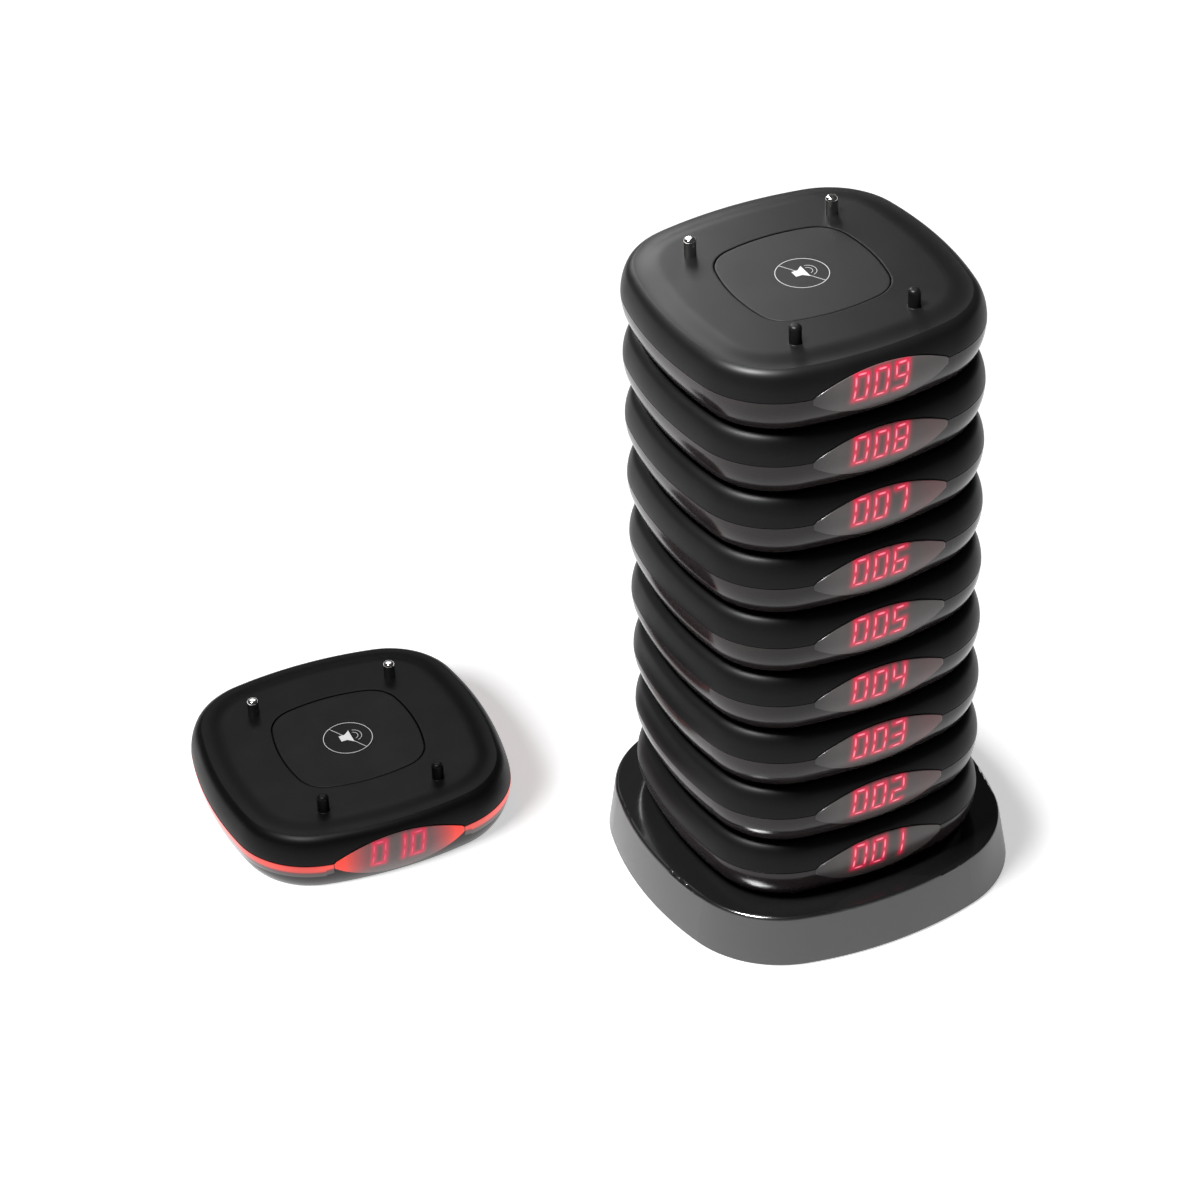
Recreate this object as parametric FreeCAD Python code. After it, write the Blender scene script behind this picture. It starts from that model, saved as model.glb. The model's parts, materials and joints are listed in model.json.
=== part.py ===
import FreeCAD, Part
import math
import os

# Guest pager system: a stack of pagers on a charging base, and one more pager that lies
# beside it and is paging. Millimetres, +Z up. The origin is the centre of the face that the
# base rests on. The displays of the stack face -Y, and +X is to their right.

V = FreeCAD.Vector
UP = V(0, 0, 1)

# ---- Where the pagers are ----------------------------------------------------------------------
stacked_pagers = 9          # pagers 001, 002 ... on the base, each on the one below
loose_x = -122.0            # centre of the loose pager
loose_y = 95.0
loose_turn = -4.0           # degrees about its own upright axis

# ---- Pager: outline and height -----------------------------------------------------------------
pager_half = 50.0           # from the centre to the widest line of a side
pager_side_r = 128.0        # radius of the slightly curved sides
pager_corner_r = 28.0       # radius of the corners
pager_height = 22.3         # from the foot ring to the flat top, so also the pitch of the stack
girth_z = 12.0              # height of the widest line, where the two shells meet
shell_wall = 2.0
roof_t = 2.0
floor_t = 2.0
seam = 0.16                 # gap between the two shells

# ---- Pager: section of the wall ----------------------------------------------------------------
shoulder_in = 3.7           # the rounded shoulder ends this far inside the widest line
edge_h = 0.2                # from there a short slope rises to the rim
edge_w = 0.43               # and is this wide
rim_drop = 0.9              # the rim lies this much below the flat top
rim_round = 0.5             # rounding of the rim, between the short slope and the band
band_w = 2.2                # the band inside the rim is this wide
band_drop = 0.1             # and falls this much towards the middle
slope_w = 4.6               # width of the slope that rises from the band to the flat top
shoulder_low = 25.0         # degrees, where the shoulder's large arc gives way to its small arc
shoulder_high = 65.0        # degrees, where the small arc ends
belly_r = 18.5              # radius of the lower shell's section
belly_round = 1.3           # rounding where it turns under
foot_h = 0.5                # the foot ring stands this much below the floor
foot_in = 11.0              # its outer edge lies this far inside the widest line
foot_w = 2.2
core_in = 20.0              # the straight middle of a shell starts this far inside

# ---- Pager: display window ---------------------------------------------------------------------
window_w = 44.0             # between the ends of the arch
window_rise = 6.3           # from the widest line to the top of the arch
window_notch = 0.8          # small step at each end of the arch
window_depth = 14.0         # how far in from the front the arch cuts the wall

# ---- Pager: pins and sockets -------------------------------------------------------------------
charge_x = 24.4             # two metal pins at the rear
charge_in = 24.2            # their middles lie this far inside the rear side
guide_x = 20.0              # two moulded pins at the front
guide_in = 17.7             # their middles lie this far inside the front side
pin_r = 1.95
pin_h = 6.05                # above the flat top
pin_round = 1.2
pin_collar_r = 2.25         # a metal pin is thicker where it passes through the roof
pin_tail_r = 1.2            # and thinner below its flange
pin_gap = 0.15              # round a metal pin in the roof
pin_flange_r = 3.0
pin_flange_t = 1.2
socket_gap = 0.3            # round a pin in its socket
socket_wall = 1.3
socket_depth = 6.8          # from the floor's underside up to a guide socket's closed end
contact_gap = 0.1           # between a pin's tip and the contact above it
contact_r = 2.75            # the contact's disc lies on the end of the charging socket
contact_t = 1.15
contact_wall = 0.65         # of a charging socket's tube, round the disc
contact_stem_r = 0.6

# ---- Pager: mute button ------------------------------------------------------------------------
button_half = 23.6
button_side_r = 60.0
button_corner_r = 11.0
button_gap = 0.3            # round the button in the roof
button_sink = 0.1           # its top lies this much below the flat top
button_round = 0.3          # rounding of its upper edge
button_travel = 0.6
button_lip = 1.6            # the flange under the roof reaches this far out
button_lip_t = 1.0
button_lip_gap = 0.15       # between the flange and the roof
switch_clear = 0.1          # left between the button and its switch when it is pressed

# ---- Pager: case screws ------------------------------------------------------------------------
screw_in = 17.0             # from the widest line of each side to a screw's axis
screw_r = 1.0
screw_head_r = 2.3
screw_head_t = 1.6
screw_slot = 0.6            # width of the slot in a head
screw_gap = 0.25            # round shank and head in the lower shell
pilot_gap = 0.05            # round the shank in the top shell's boss
screw_into = 6.0            # length of shank inside the top shell's boss
boss_r = 3.2
boss_top = 9.0              # height where the lower boss meets the upper one
head_seat = 3.3             # height of the screw head's seat

# ---- Pager: inner pieces -----------------------------------------------------------------------
fit_gap = 0.4               # clearance between inner pieces and the shells
board_t = 1.6
board_z = 13.0              # underside of the circuit board
board_in = 8.0
chip_w = 9.0
chip_t = 1.2
display_w = 26.0
display_above = 4.0         # between the floor and the display
display_below = 2.2         # between the display and the roof
display_d = 4.6
display_room = 3.0          # between the shell's wall and the display's face
leg_w = 0.6
leg_t = 0.4
leg_l = 2.5
leg_pitch = 3.4
legs = 6
digits = 3
digit_w = 4.8
digit_edge = 1.1            # from the display's upper and lower faces to the wells
digit_pitch = 6.8
digit_deep = 0.4
battery_w = 36.0
battery_l = 30.0
battery_t = 5.5
motor_r = 3.5
motor_l = 14.0
motor_in = 16.0             # from the right side's widest line to the motor's axis
motor_y = -11.0             # front end of the motor
motor_shaft_r = 0.6
motor_shaft_l = 7.0
weight_r = 3.1
weight_hub_r = 1.5
weight_l = 5.0
weight_gap = 1.2            # between motor and weight
weight_bore_gap = 0.05
buzzer_r = 7.0
buzzer_t = 4.0
buzzer_in = 18.0            # from the left side's widest line to the buzzer's middle
buzzer_y = -2.0
buzzer_hole_r = 1.0
switch_w = 6.0
switch_cap_r = 1.6
switch_cap_t = 0.8
light_guide_h = 2.0         # height of the frame that spreads the light behind the seam
light_guide_lap = 0.8       # it reaches this far in under the circuit board
light_guide_open = 48.0     # width left open for the display
led_w = 3.2
led_d = 1.6
led_h = 2.2
led_gap = 0.2               # between a light and the light guide
led_angle = 9.5             # degrees to each side of the middle of a side

# ---- Charging base -----------------------------------------------------------------------------
base_half = 60.5            # at the bottom of the skirt
base_side_r = 120.0
base_corner_r = 36.5
base_taper = 2.6            # the top is this much smaller on each side
base_edge_r = 1.0
base_wall = 2.4
base_roof_t = 2.2
base_skirt_z = 0.8          # the skirt ends this much above the table
base_plate_t = 2.0
base_plate_z = 1.0
base_plate_gap = 0.3
base_foot_r = 6.5
base_foot_t = 1.6
base_foot_in = 22.5         # from the skirt on each side to a foot's middle
base_foot_gap = 0.1         # round a foot in the bottom plate
base_screw_aside = 9.0      # a screw's axis lies this far inside the board's side edge
base_screw_in = 22.5        # and this far inside the front or rear skirt
base_screw_l = 7.0          # length of shank inside the cover's boss
base_screw_head_t = 0.9
base_boss_r = 3.6
base_board_aside = 27.5     # from the skirt on each side to the board's side edge
base_board_front = -6.0
base_board_in = 13.5        # from the rear skirt to the board's rear edge
base_standoff = 1.0         # between the bottom plate and the circuit board
base_standoff_w = 4.0
base_standoff_in = 3.0      # from the board's edges to the middle of a standoff
inlet_w = 9.0
inlet_h = 9.6
inlet_room = 0.6            # between the inlet and the cover's roof
inlet_l = 14.0
inlet_set = 0.5             # the inlet's face lies this much inside the rear wall
inlet_gap = 0.3
inlet_bore_r = 2.75
inlet_bore_l = 9.5
inlet_pin_r = 1.0
inlet_centre = 6.2          # from the board up to the middle of the bore

# ---- Values that follow ------------------------------------------------------------------------
rim_z = pager_height - rim_drop
shoulder_z = rim_z - edge_h
roof_z = pager_height - roof_t
floor_z = foot_h + floor_t
board_top = board_z + board_t
contact_z = pin_h + contact_gap
display_low = floor_z + display_above
display_h = roof_z - display_below - display_low
digit_h = display_h - 2 * digit_edge
display_face = -pager_half + shell_wall + display_room
board_front = display_face + display_d + fit_gap / 2
led_in = board_in + light_guide_lap + led_gap + led_d / 2
socket_end = foot_h + socket_depth
socket_r = pin_r + socket_gap
charge_y = pager_half - charge_in
guide_y = guide_in - pager_half
charge_places = [(-charge_x, charge_y), (charge_x, charge_y)]
guide_places = [(-guide_x, guide_y), (guide_x, guide_y)]
screw_at = pager_half - screw_in
motor_x = pager_half - motor_in
buzzer_x = buzzer_in - pager_half
screw_places = [(x, y) for x in (-screw_at, screw_at) for y in (-screw_at, screw_at)]
lip_z = roof_z - button_lip_gap - button_lip_t
base_plate_top = base_plate_z + base_plate_t
base_board_z = base_plate_top + base_standoff
base_board_top = base_board_z + board_t
base_roof_z = base_board_top + inlet_h + inlet_room
base_height = base_roof_z + base_roof_t     # the flat top that the lowest pager stands on
base_screw_seat = base_plate_z + base_plate_t / 2
base_foot_at = base_half - base_foot_in
base_board_w = 2 * (base_half - base_board_aside)
base_screw_x = base_board_w / 2 - base_screw_aside
base_screw_y = base_half - base_screw_in
base_board_rear = base_half - base_board_in
base_screw_places = [(x, y) for x in (-base_screw_x, base_screw_x)
                     for y in (-base_screw_y, base_screw_y)]
base_foot_places = [(x, y) for x in (-base_foot_at, base_foot_at)
                    for y in (-base_foot_at, base_foot_at)]


# ---- Outlines: four side arcs and four corner arcs, each tangent to the next -------------------
def outline(half, side_r, corner_r):
    """Arcs (centre, radius, start, sweep) of a rounded square, anticlockwise, angles in degrees."""
    lean = (side_r - half) / (math.sqrt(2) * (side_r - corner_r))
    reach = 45 - math.degrees(math.asin(lean))
    corner = (side_r - corner_r) * math.sin(math.radians(reach))
    arcs = []
    for quarter in range(4):
        turn = FreeCAD.Rotation(UP, 90 * quarter)
        side_centre = turn.multVec(V(half - side_r, 0, 0))
        corner_centre = turn.multVec(V(corner, corner, 0))
        arcs.append((side_centre, side_r, 90 * quarter - reach, 2 * reach))
        arcs.append((corner_centre, corner_r, 90 * quarter + reach, 90 - 2 * reach))
    return arcs


def on_arc(arc, grow, angle, z):
    """Point of an outline's arc that is moved out by grow."""
    centre, radius = arc[0], arc[1] + grow
    turn = math.radians(angle)
    return centre + V(radius * math.cos(turn), radius * math.sin(turn), z)


def slab(arcs, grow, low, high):
    """Flat plate inside an outline that is moved out by grow."""
    edges = []
    for arc in arcs:
        start, sweep = arc[2], arc[3]
        points = [on_arc(arc, grow, start + sweep * part, low) for part in (0, 0.5, 1)]
        edges.append(Part.Arc(*points).toShape())
    return Part.Face(Part.Wire(edges)).extrude(V(0, 0, high - low))


def section_face(steps, place):
    """Closed face from a start point and steps: a point for a line, or (middle, end) for an arc."""
    edges = []
    here = steps[0]
    for step in steps[1:]:
        if isinstance(step[0], tuple):
            edges.append(Part.Arc(place(here), place(step[0]), place(step[1])).toShape())
            here = step[1]
        else:
            edges.append(Part.LineSegment(place(here), place(step)).toShape())
            here = step
    return Part.Face(Part.Wire(edges))


def carry_round(arcs, steps, fill=None):
    """Solid made by carrying a section round an outline, with a slab fill = (grow, low, high)."""
    pieces = []
    for arc in arcs:
        face = section_face(steps, lambda p, a=arc: on_arc(a, p[0], a[2], p[1]))
        pieces.append(face.revolve(arc[0], UP, arc[3]))
    if fill:
        pieces.append(slab(arcs, *fill))
    return pieces[0].multiFuse(pieces[1:]).removeSplitter()


def post(place, radius, low, high):
    return Part.makeCylinder(radius, high - low, V(place[0], place[1], low))


def box(width, depth, height, x, y, z):
    """Box centred on x and y that starts at height z."""
    return Part.makeBox(width, depth, height, V(x - width / 2, y - depth / 2, z))


def round_top(shape, radius):
    """Rounds the edges at the top of a post or slab."""
    top = shape.BoundBox.ZMax
    edges = [e for e in shape.Edges if abs(e.BoundBox.ZMin - top) < 1e-6]
    return shape.makeFillet(radius, edges)


def join(shapes):
    shapes = list(shapes)
    return shapes[0].multiFuse(shapes[1:]) if len(shapes) > 1 else shapes[0]


PAGER = outline(pager_half, pager_side_r, pager_corner_r)
BUTTON = outline(button_half, button_side_r, button_corner_r)
BASE = outline(base_half, base_side_r, base_corner_r)


# ---- Section of the pager's wall ---------------------------------------------------------------
def shoulder_radii():
    """Radii of the two tangent arcs that rise from the widest line, upright, to the shoulder's end."""
    low, high = math.radians(shoulder_low), math.radians(shoulder_high)
    rise = shoulder_z - girth_z
    a, b = 1 - math.cos(low), math.cos(low) - math.cos(high)
    c, d = math.sin(low), math.sin(high) - math.sin(low)
    det = a * d - b * c
    return (shoulder_in * d - b * rise) / det, (a * rise - c * shoulder_in) / det


def arc_steps(centre, radius, start, end):
    """One arc step of a section, by its middle and end, about a centre in (offset, z)."""
    def at(angle):
        turn = math.radians(angle)
        return centre[0] + radius * math.cos(turn), centre[1] + radius * math.sin(turn)
    return at((start + end) / 2), at(end)


def round_corner(before, corner, after, radius):
    """Steps past a corner of a section that is rounded between its two straight lines."""
    lines = [V(end[0] - corner[0], end[1] - corner[1], 0).normalize() for end in (before, after)]
    half = lines[0].getAngle(lines[1]) / 2
    start, end = [lines[i] * (radius / math.tan(half)) for i in (0, 1)]
    inward = (lines[0] + lines[1]).normalize()
    middle = inward * (radius / math.sin(half) - radius)
    return [(corner[0] + start.x, corner[1] + start.y),
            ((corner[0] + middle.x, corner[1] + middle.y),
             (corner[0] + end.x, corner[1] + end.y))]


def wall_section(inset, low, high, rounded):
    """Section of the solid inside the wall's face moved in by inset, from low to high."""
    large, small = shoulder_radii()
    low_turn = math.radians(shoulder_low)
    first = (-large, girth_z)
    second = (first[0] + (large - small) * math.cos(low_turn),
              first[1] + (large - small) * math.sin(low_turn))
    belly = (-belly_r, girth_z)
    steps = [(-core_in, low)]
    if rounded:
        reach = belly_r - belly_round
        drop = girth_z - low - belly_round
        under = (belly[0] + math.sqrt(reach ** 2 - drop ** 2), low + belly_round)
        meet = -math.degrees(math.asin(drop / reach))
        steps.append((under[0], low))
        steps.append(arc_steps(under, belly_round, -90, meet))
    else:
        meet = -math.degrees(math.asin((girth_z - low) / (belly_r - inset)))
        turn = math.radians(meet)
        steps.append((belly[0] + (belly_r - inset) * math.cos(turn), low))
    steps.append(arc_steps(belly, belly_r - inset, meet, 0))
    steps.append(arc_steps(first, large - inset, 0, shoulder_low))
    if rounded:
        steps.append(arc_steps(second, small, shoulder_low, shoulder_high))
        rim = (-shoulder_in - edge_w, rim_z)
        trough = (rim[0] - band_w, rim_z - band_drop)
        steps += round_corner(steps[-1][1], rim, trough, rim_round)
        steps.append(trough)
        steps.append((trough[0] - slope_w, high))
    else:
        top = math.degrees(math.asin(min(1, (high - second[1]) / (small - inset))))
        top = min(top, shoulder_high)
        steps.append(arc_steps(second, small - inset, shoulder_low, top))
        if steps[-1][1][1] < high - 1e-6:
            steps.append((steps[-1][1][0] - inset, high))
    steps.append((-core_in, high))
    steps.append((-core_in, low))
    return steps


def pager_body(inset, low, high):
    steps = wall_section(inset, low, high, inset == 0)
    return carry_round(PAGER, steps, (-core_in, low, high))


def arch(grow):
    """Prism in front of the pager under the window's arch, moved out by grow."""
    half = window_w / 2 + grow
    foot = half + window_notch
    side_z = girth_z + window_notch + grow
    peak_z = girth_z + window_rise + grow
    front = -pager_half - 1
    points = [V(-foot, front, girth_z - 1), V(foot, front, girth_z - 1)]
    points += [V(foot, front, girth_z + grow), V(half, front, side_z)]
    edges = [Part.LineSegment(points[i], points[i + 1]).toShape() for i in range(3)]
    left = [V(-half, front, side_z), V(-foot, front, girth_z + grow)]
    edges.append(Part.Arc(points[3], V(0, front, peak_z), left[0]).toShape())
    edges.append(Part.LineSegment(left[0], left[1]).toShape())
    edges.append(Part.LineSegment(left[1], points[0]).toShape())
    return Part.Face(Part.Wire(edges)).extrude(V(0, window_depth, 0))


def halfspace(low, high):
    wide = 2 * pager_half + 10
    return box(wide, wide, high - low, 0, 0, low)


# ---- Pager pieces ------------------------------------------------------------------------------
def make_top_shell(shell):
    above = halfspace(girth_z + seam / 2, pager_height + 1).cut(arch(seam / 2))
    part = shell.common(above)
    bosses = [post(p, boss_r, boss_top + seam, roof_z + 0.1) for p in screw_places]
    pins = [round_top(post(p, pin_r, roof_z + 0.1, pager_height + pin_h), pin_round)
            for p in guide_places]
    part = part.multiFuse(bosses + pins)
    holes = [post(p, screw_r + pilot_gap, boss_top, boss_top + seam + screw_into + 1)
             for p in screw_places]
    holes += [post(p, pin_collar_r + pin_gap, roof_z - 1, pager_height + 1)
              for p in charge_places]
    holes.append(slab(BUTTON, button_gap, roof_z - 1, pager_height + 1))
    return part.cut(join(holes)).removeSplitter()


def make_lower_shell(shell):
    below = halfspace(foot_h - 1, girth_z - seam / 2).fuse(arch(-seam / 2))
    part = shell.common(below)
    foot = slab(PAGER, -foot_in, 0, foot_h + 0.1).cut(slab(PAGER, -foot_in - foot_w, -1, floor_z))
    tubes = [post(p, socket_r + socket_wall, foot_h, board_z) for p in guide_places]
    tubes += [post(p, contact_r + pin_gap + contact_wall, foot_h, board_z)
              for p in charge_places]
    bosses = [post(p, boss_r, foot_h, boss_top) for p in screw_places]
    part = part.multiFuse([foot] + tubes + bosses)
    holes = [post(p, socket_r, -1, socket_end) for p in guide_places]
    holes += [post(p, socket_r, -1, contact_z) for p in charge_places]
    holes += [post(p, contact_r + pin_gap, contact_z, board_z + 1) for p in charge_places]
    holes += [post(p, screw_head_r + screw_gap, -1, head_seat) for p in screw_places]
    holes += [post(p, screw_r + screw_gap, 0, boss_top + 1) for p in screw_places]
    return part.cut(join(holes)).removeSplitter()


def make_mute_button():
    cap = round_top(slab(BUTTON, 0, lip_z, pager_height - button_sink), button_round)
    lip = slab(BUTTON, button_lip, lip_z, lip_z + button_lip_t)
    return cap.fuse(lip).removeSplitter()


def make_charge_pins(foot, roof, top):
    """Metal pins from a circuit board at foot to pin_h above top, with a flange under roof."""
    pins = []
    for place in charge_places:
        tip = round_top(post(place, pin_r, roof, top + pin_h), pin_round)
        collar = post(place, pin_collar_r, roof - pin_gap, top)
        flange = post(place, pin_flange_r, roof - pin_gap - pin_flange_t, roof - pin_gap)
        tail = post(place, pin_tail_r, foot, roof - pin_gap)
        pins.append(tip.multiFuse([collar, flange, tail]).removeSplitter())
    return pins


def make_socket_contacts():
    contacts = []
    for place in charge_places:
        disc = post(place, contact_r, contact_z, contact_z + contact_t)
        stem = post(place, contact_stem_r, contact_z, board_z)
        contacts.append(disc.fuse(stem).removeSplitter())
    return contacts


def make_circuit_board():
    board = slab(PAGER, -board_in, board_z, board_top)
    front = box(4 * pager_half, pager_half, board_t + 2, 0, board_front - pager_half / 2,
                board_z - 1)
    holes = [post(p, boss_r + fit_gap, board_z - 1, board_top + 1) for p in screw_places]
    board = board.cut(join([front] + holes))
    chips = [box(chip_w, chip_w, chip_t, x, 0, board_top) for x in (-2 * chip_w, 2 * chip_w)]
    return [board] + chips


def make_display_module():
    """Housing with a shallow well for each digit, on legs that lie on the circuit board."""
    body = box(display_w, display_d, display_h, 0, display_face + display_d / 2, display_low)
    feet = []
    for index in range(legs):
        x = (index - (legs - 1) / 2) * leg_pitch
        y = board_front + (leg_l - fit_gap) / 2
        feet.append(box(leg_w, leg_l + fit_gap, leg_t, x, y, board_top))
    wells = []
    for index in range(digits):
        x = (index - (digits - 1) / 2) * digit_pitch
        wells.append(box(digit_w, 2 * digit_deep, digit_h, x, display_face,
                         display_low + digit_edge))
    return [body.multiFuse(feet).cut(join(wells)).removeSplitter()]


def make_light_guide():
    """Clear frame under the rim of the circuit board, open in front for the display."""
    low = board_z - light_guide_h
    ring = slab(PAGER, -shell_wall - fit_gap, low, board_z)
    holes = [slab(PAGER, -board_in - light_guide_lap, low - 1, board_z + 1)]
    holes += [post(p, boss_r + fit_gap, low - 1, board_z + 1) for p in screw_places]
    holes.append(box(light_guide_open, pager_half, light_guide_h + 2, 0, -pager_half, low - 1))
    return [ring.cut(join(holes))]


def make_indicator_leds():
    leds = []
    for arc in PAGER[0::2]:
        middle = arc[2] + arc[3] / 2
        for angle in (middle - led_angle, middle + led_angle):
            led = box(led_d, led_w, led_h, 0, 0, board_z - led_h)
            led.rotate(V(0, 0, 0), UP, angle)
            led.translate(on_arc(arc, -led_in, angle, 0))
            leds.append(led)
    return leds


def make_battery_cell():
    return [box(battery_w, battery_l, battery_t, 0, 0, floor_z)]


def motor_axis(y):
    return V(motor_x, y, floor_z + motor_r)


def make_vibration_motor():
    along = V(0, 1, 0)
    can = Part.makeCylinder(motor_r, motor_l, motor_axis(motor_y), along)
    shaft = Part.makeCylinder(motor_shaft_r, motor_shaft_l, motor_axis(motor_y + motor_l), along)
    return [can.fuse(shaft).removeSplitter()]


def make_motor_weight():
    """Half disc that hangs from the motor's shaft, off balance so that it shakes as it spins."""
    along = V(0, 1, 0)
    start = motor_axis(motor_y + motor_l + weight_gap)
    disc = Part.makeCylinder(weight_r, weight_l, start, along)
    disc = disc.cut(box(2 * weight_r, 2 * weight_l, weight_r, start.x, start.y + weight_l / 2,
                        start.z))
    hub = Part.makeCylinder(weight_hub_r, weight_l, start, along)
    bore = Part.makeCylinder(motor_shaft_r + weight_bore_gap, 3 * weight_l, start - along * weight_l,
                             along)
    return [disc.fuse(hub).cut(bore).removeSplitter()]


def make_buzzer():
    can = post((buzzer_x, buzzer_y), buzzer_r, board_z - buzzer_t, board_z)
    return [can.cut(post((buzzer_x, buzzer_y), buzzer_hole_r, 0, board_z - buzzer_t / 2))]


def make_button_switch():
    cap_top = lip_z - button_travel - switch_clear
    case = box(switch_w, switch_w, cap_top - switch_cap_t - board_top, 0, 0, board_top)
    return [case.fuse(post((0, 0), switch_cap_r, board_top, cap_top)).removeSplitter()]


def make_screw(place, seat, head_t, end):
    """Screw driven from below: its head under the seat, a slot across it, its shank up to end."""
    shank = post(place, screw_r, seat - head_t / 2, end)
    head = post(place, screw_head_r, seat - head_t, seat)
    slot = box(3 * screw_slot, screw_slot, head_t / 3, place[0], place[1], seat - head_t)
    return shank.fuse(head).cut(slot).removeSplitter()


def make_case_screws():
    return [make_screw(p, head_seat, screw_head_t, boss_top + seam + screw_into)
            for p in screw_places]


def make_pager():
    """All pieces of one pager, as lists of solids, standing on z = 0."""
    cavity = pager_body(shell_wall, floor_z, roof_z)
    shell = pager_body(0, foot_h, pager_height).cut(cavity)
    return {
        "top_shell": [make_top_shell(shell)],
        "lower_shell": [make_lower_shell(shell)],
        "mute_button": [make_mute_button()],
        "charge_pins": make_charge_pins(board_top, roof_z, pager_height),
        "socket_contacts": make_socket_contacts(),
        "circuit_board": make_circuit_board(),
        "display_module": make_display_module(),
        "light_guide": make_light_guide(),
        "indicator_leds": make_indicator_leds(),
        "battery_cell": make_battery_cell(),
        "vibration_motor": make_vibration_motor(),
        "motor_weight": make_motor_weight(),
        "buzzer": make_buzzer(),
        "button_switch": make_button_switch(),
        "case_screws": make_case_screws(),
    }


# ---- Charging base pieces ----------------------------------------------------------------------
def base_side(z):
    """Offset of the tapered side at height z, from the outline at the bottom of the skirt."""
    return -base_taper * (z - base_skirt_z) / (base_height - base_skirt_z)


def base_section(inset, low, high, rounded):
    top = base_side(high) - inset
    steps = [(-core_in, low), (base_side(low) - inset, low)]
    if rounded:
        bend = base_edge_r * (1 - math.sqrt(0.5))
        steps.append((base_side(high - base_edge_r) - inset, high - base_edge_r))
        steps.append(((top - bend, high - bend), (top - base_edge_r, high)))
    else:
        steps.append((top, high))
    return steps + [(-core_in, high), (-core_in, low)]


def rear_wall_y(z):
    return base_half + base_side(z)


inlet_z = base_board_top + inlet_centre
inlet_face = rear_wall_y(inlet_z) - inlet_set


def make_base_cover():
    solid = carry_round(BASE, base_section(0, base_skirt_z, base_height, True),
                        (-core_in, base_skirt_z, base_height))
    hollow = carry_round(BASE, base_section(base_wall, base_skirt_z - 1, base_roof_z, False),
                         (-core_in, base_skirt_z - 1, base_roof_z))
    cover = solid.cut(hollow)
    pins = [round_top(post(p, pin_r, base_roof_z + 0.1, base_height + pin_h), pin_round)
            for p in guide_places]
    bosses = [post(p, base_boss_r, base_plate_top, base_roof_z + 0.1) for p in base_screw_places]
    cover = cover.multiFuse(pins + bosses)
    holes = [post(p, screw_r + pilot_gap, 0, base_plate_top + base_screw_l + 1)
             for p in base_screw_places]
    holes += [post(p, pin_collar_r + pin_gap, base_roof_z - 1, base_height + 1)
              for p in charge_places]
    holes.append(box(inlet_w + 2 * inlet_gap, 4 * base_wall, inlet_h + 2 * inlet_gap, 0,
                     base_half, base_board_top - inlet_gap))
    return [cover.cut(join(holes)).removeSplitter()]


def make_base_bottom_plate():
    grow = base_side(base_plate_top) - base_wall - base_plate_gap
    plate = slab(BASE, grow, base_plate_z, base_plate_top)
    side_x = base_board_w / 2 - base_standoff_in
    rows = (base_board_front + base_standoff_in, base_board_rear - base_standoff_in)
    standoffs = [box(base_standoff_w, base_standoff_w, base_standoff + 0.1, x, y,
                     base_plate_top - 0.1) for x in (-side_x, side_x) for y in rows]
    plate = plate.multiFuse(standoffs)
    holes = [post(p, base_foot_r + base_foot_gap, 0, base_foot_t) for p in base_foot_places]
    for place in base_screw_places:
        holes.append(post(place, screw_r + screw_gap, 0, base_plate_top + 1))
        holes.append(post(place, screw_head_r + screw_gap, 0, base_screw_seat))
    return [plate.cut(join(holes)).removeSplitter()]


def make_base_feet():
    return [post(p, base_foot_r, 0, base_foot_t) for p in base_foot_places]


def make_base_screws():
    return [make_screw(p, base_screw_seat, base_screw_head_t, base_plate_top + base_screw_l)
            for p in base_screw_places]


def make_base_circuit_board():
    depth = base_board_rear - base_board_front
    middle = (base_board_rear + base_board_front) / 2
    board = box(base_board_w, depth, board_t, 0, middle, base_board_z)
    holes = [post(p, base_boss_r + fit_gap, 0, base_roof_z) for p in base_screw_places]
    board = board.cut(join(holes))
    chip = box(chip_w, chip_w, chip_t, 0, middle - chip_w, base_board_top)
    return [board, chip]


def make_base_power_inlet():
    """Barrel inlet on the base's board: a housing with a bore from the rear, and its centre pin."""
    housing = box(inlet_w, inlet_l, inlet_h, 0, inlet_face - inlet_l / 2, base_board_top)
    bore = Part.makeCylinder(inlet_bore_r, inlet_bore_l + 1,
                             V(0, inlet_face - inlet_bore_l, inlet_z), V(0, 1, 0))
    pin = Part.makeCylinder(inlet_pin_r, inlet_bore_l - 1,
                            V(0, inlet_face - inlet_bore_l, inlet_z), V(0, 1, 0))
    return [housing.cut(bore), pin]


def make_base():
    return {
        "base_cover": make_base_cover(),
        "base_bottom_plate": make_base_bottom_plate(),
        "base_feet": make_base_feet(),
        "base_screws": make_base_screws(),
        "base_circuit_board": make_base_circuit_board(),
        "base_charge_pins": make_charge_pins(base_board_top, base_roof_z, base_height),
        "base_power_inlet": make_base_power_inlet(),
    }


# ---- Nodes -------------------------------------------------------------------------------------
def export(name, solids):
    shape = solids[0] if len(solids) == 1 else Part.makeCompound(solids)
    shape.exportStep("parts/" + name + ".step")


def placed(solids, turn, place):
    moved = []
    for solid in solids:
        copy = solid.copy()
        copy.rotate(V(0, 0, 0), UP, turn)
        copy.translate(place)
        moved.append(copy)
    return moved


os.makedirs("parts", exist_ok=True)
pager = make_pager()
outer_pieces = {
    "top_shell": pager["top_shell"] + pager["charge_pins"],
    "lower_shell": pager["lower_shell"],
    "mute_button": pager["mute_button"],
}
own_nodes = ("top_shell", "charge_pins", "lower_shell", "mute_button")
electronics = [solid for name in pager if name not in own_nodes for solid in pager[name]]

for name, solids in make_base().items():
    export(name, solids)

for index in range(stacked_pagers):
    number = "pager_%03d_" % (index + 1)
    place = V(0, 0, base_height + index * pager_height)
    for name, solids in outer_pieces.items():
        export(number + name, placed(solids, 0, place))
    export(number + "electronics", placed(electronics, 0, place))

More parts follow.
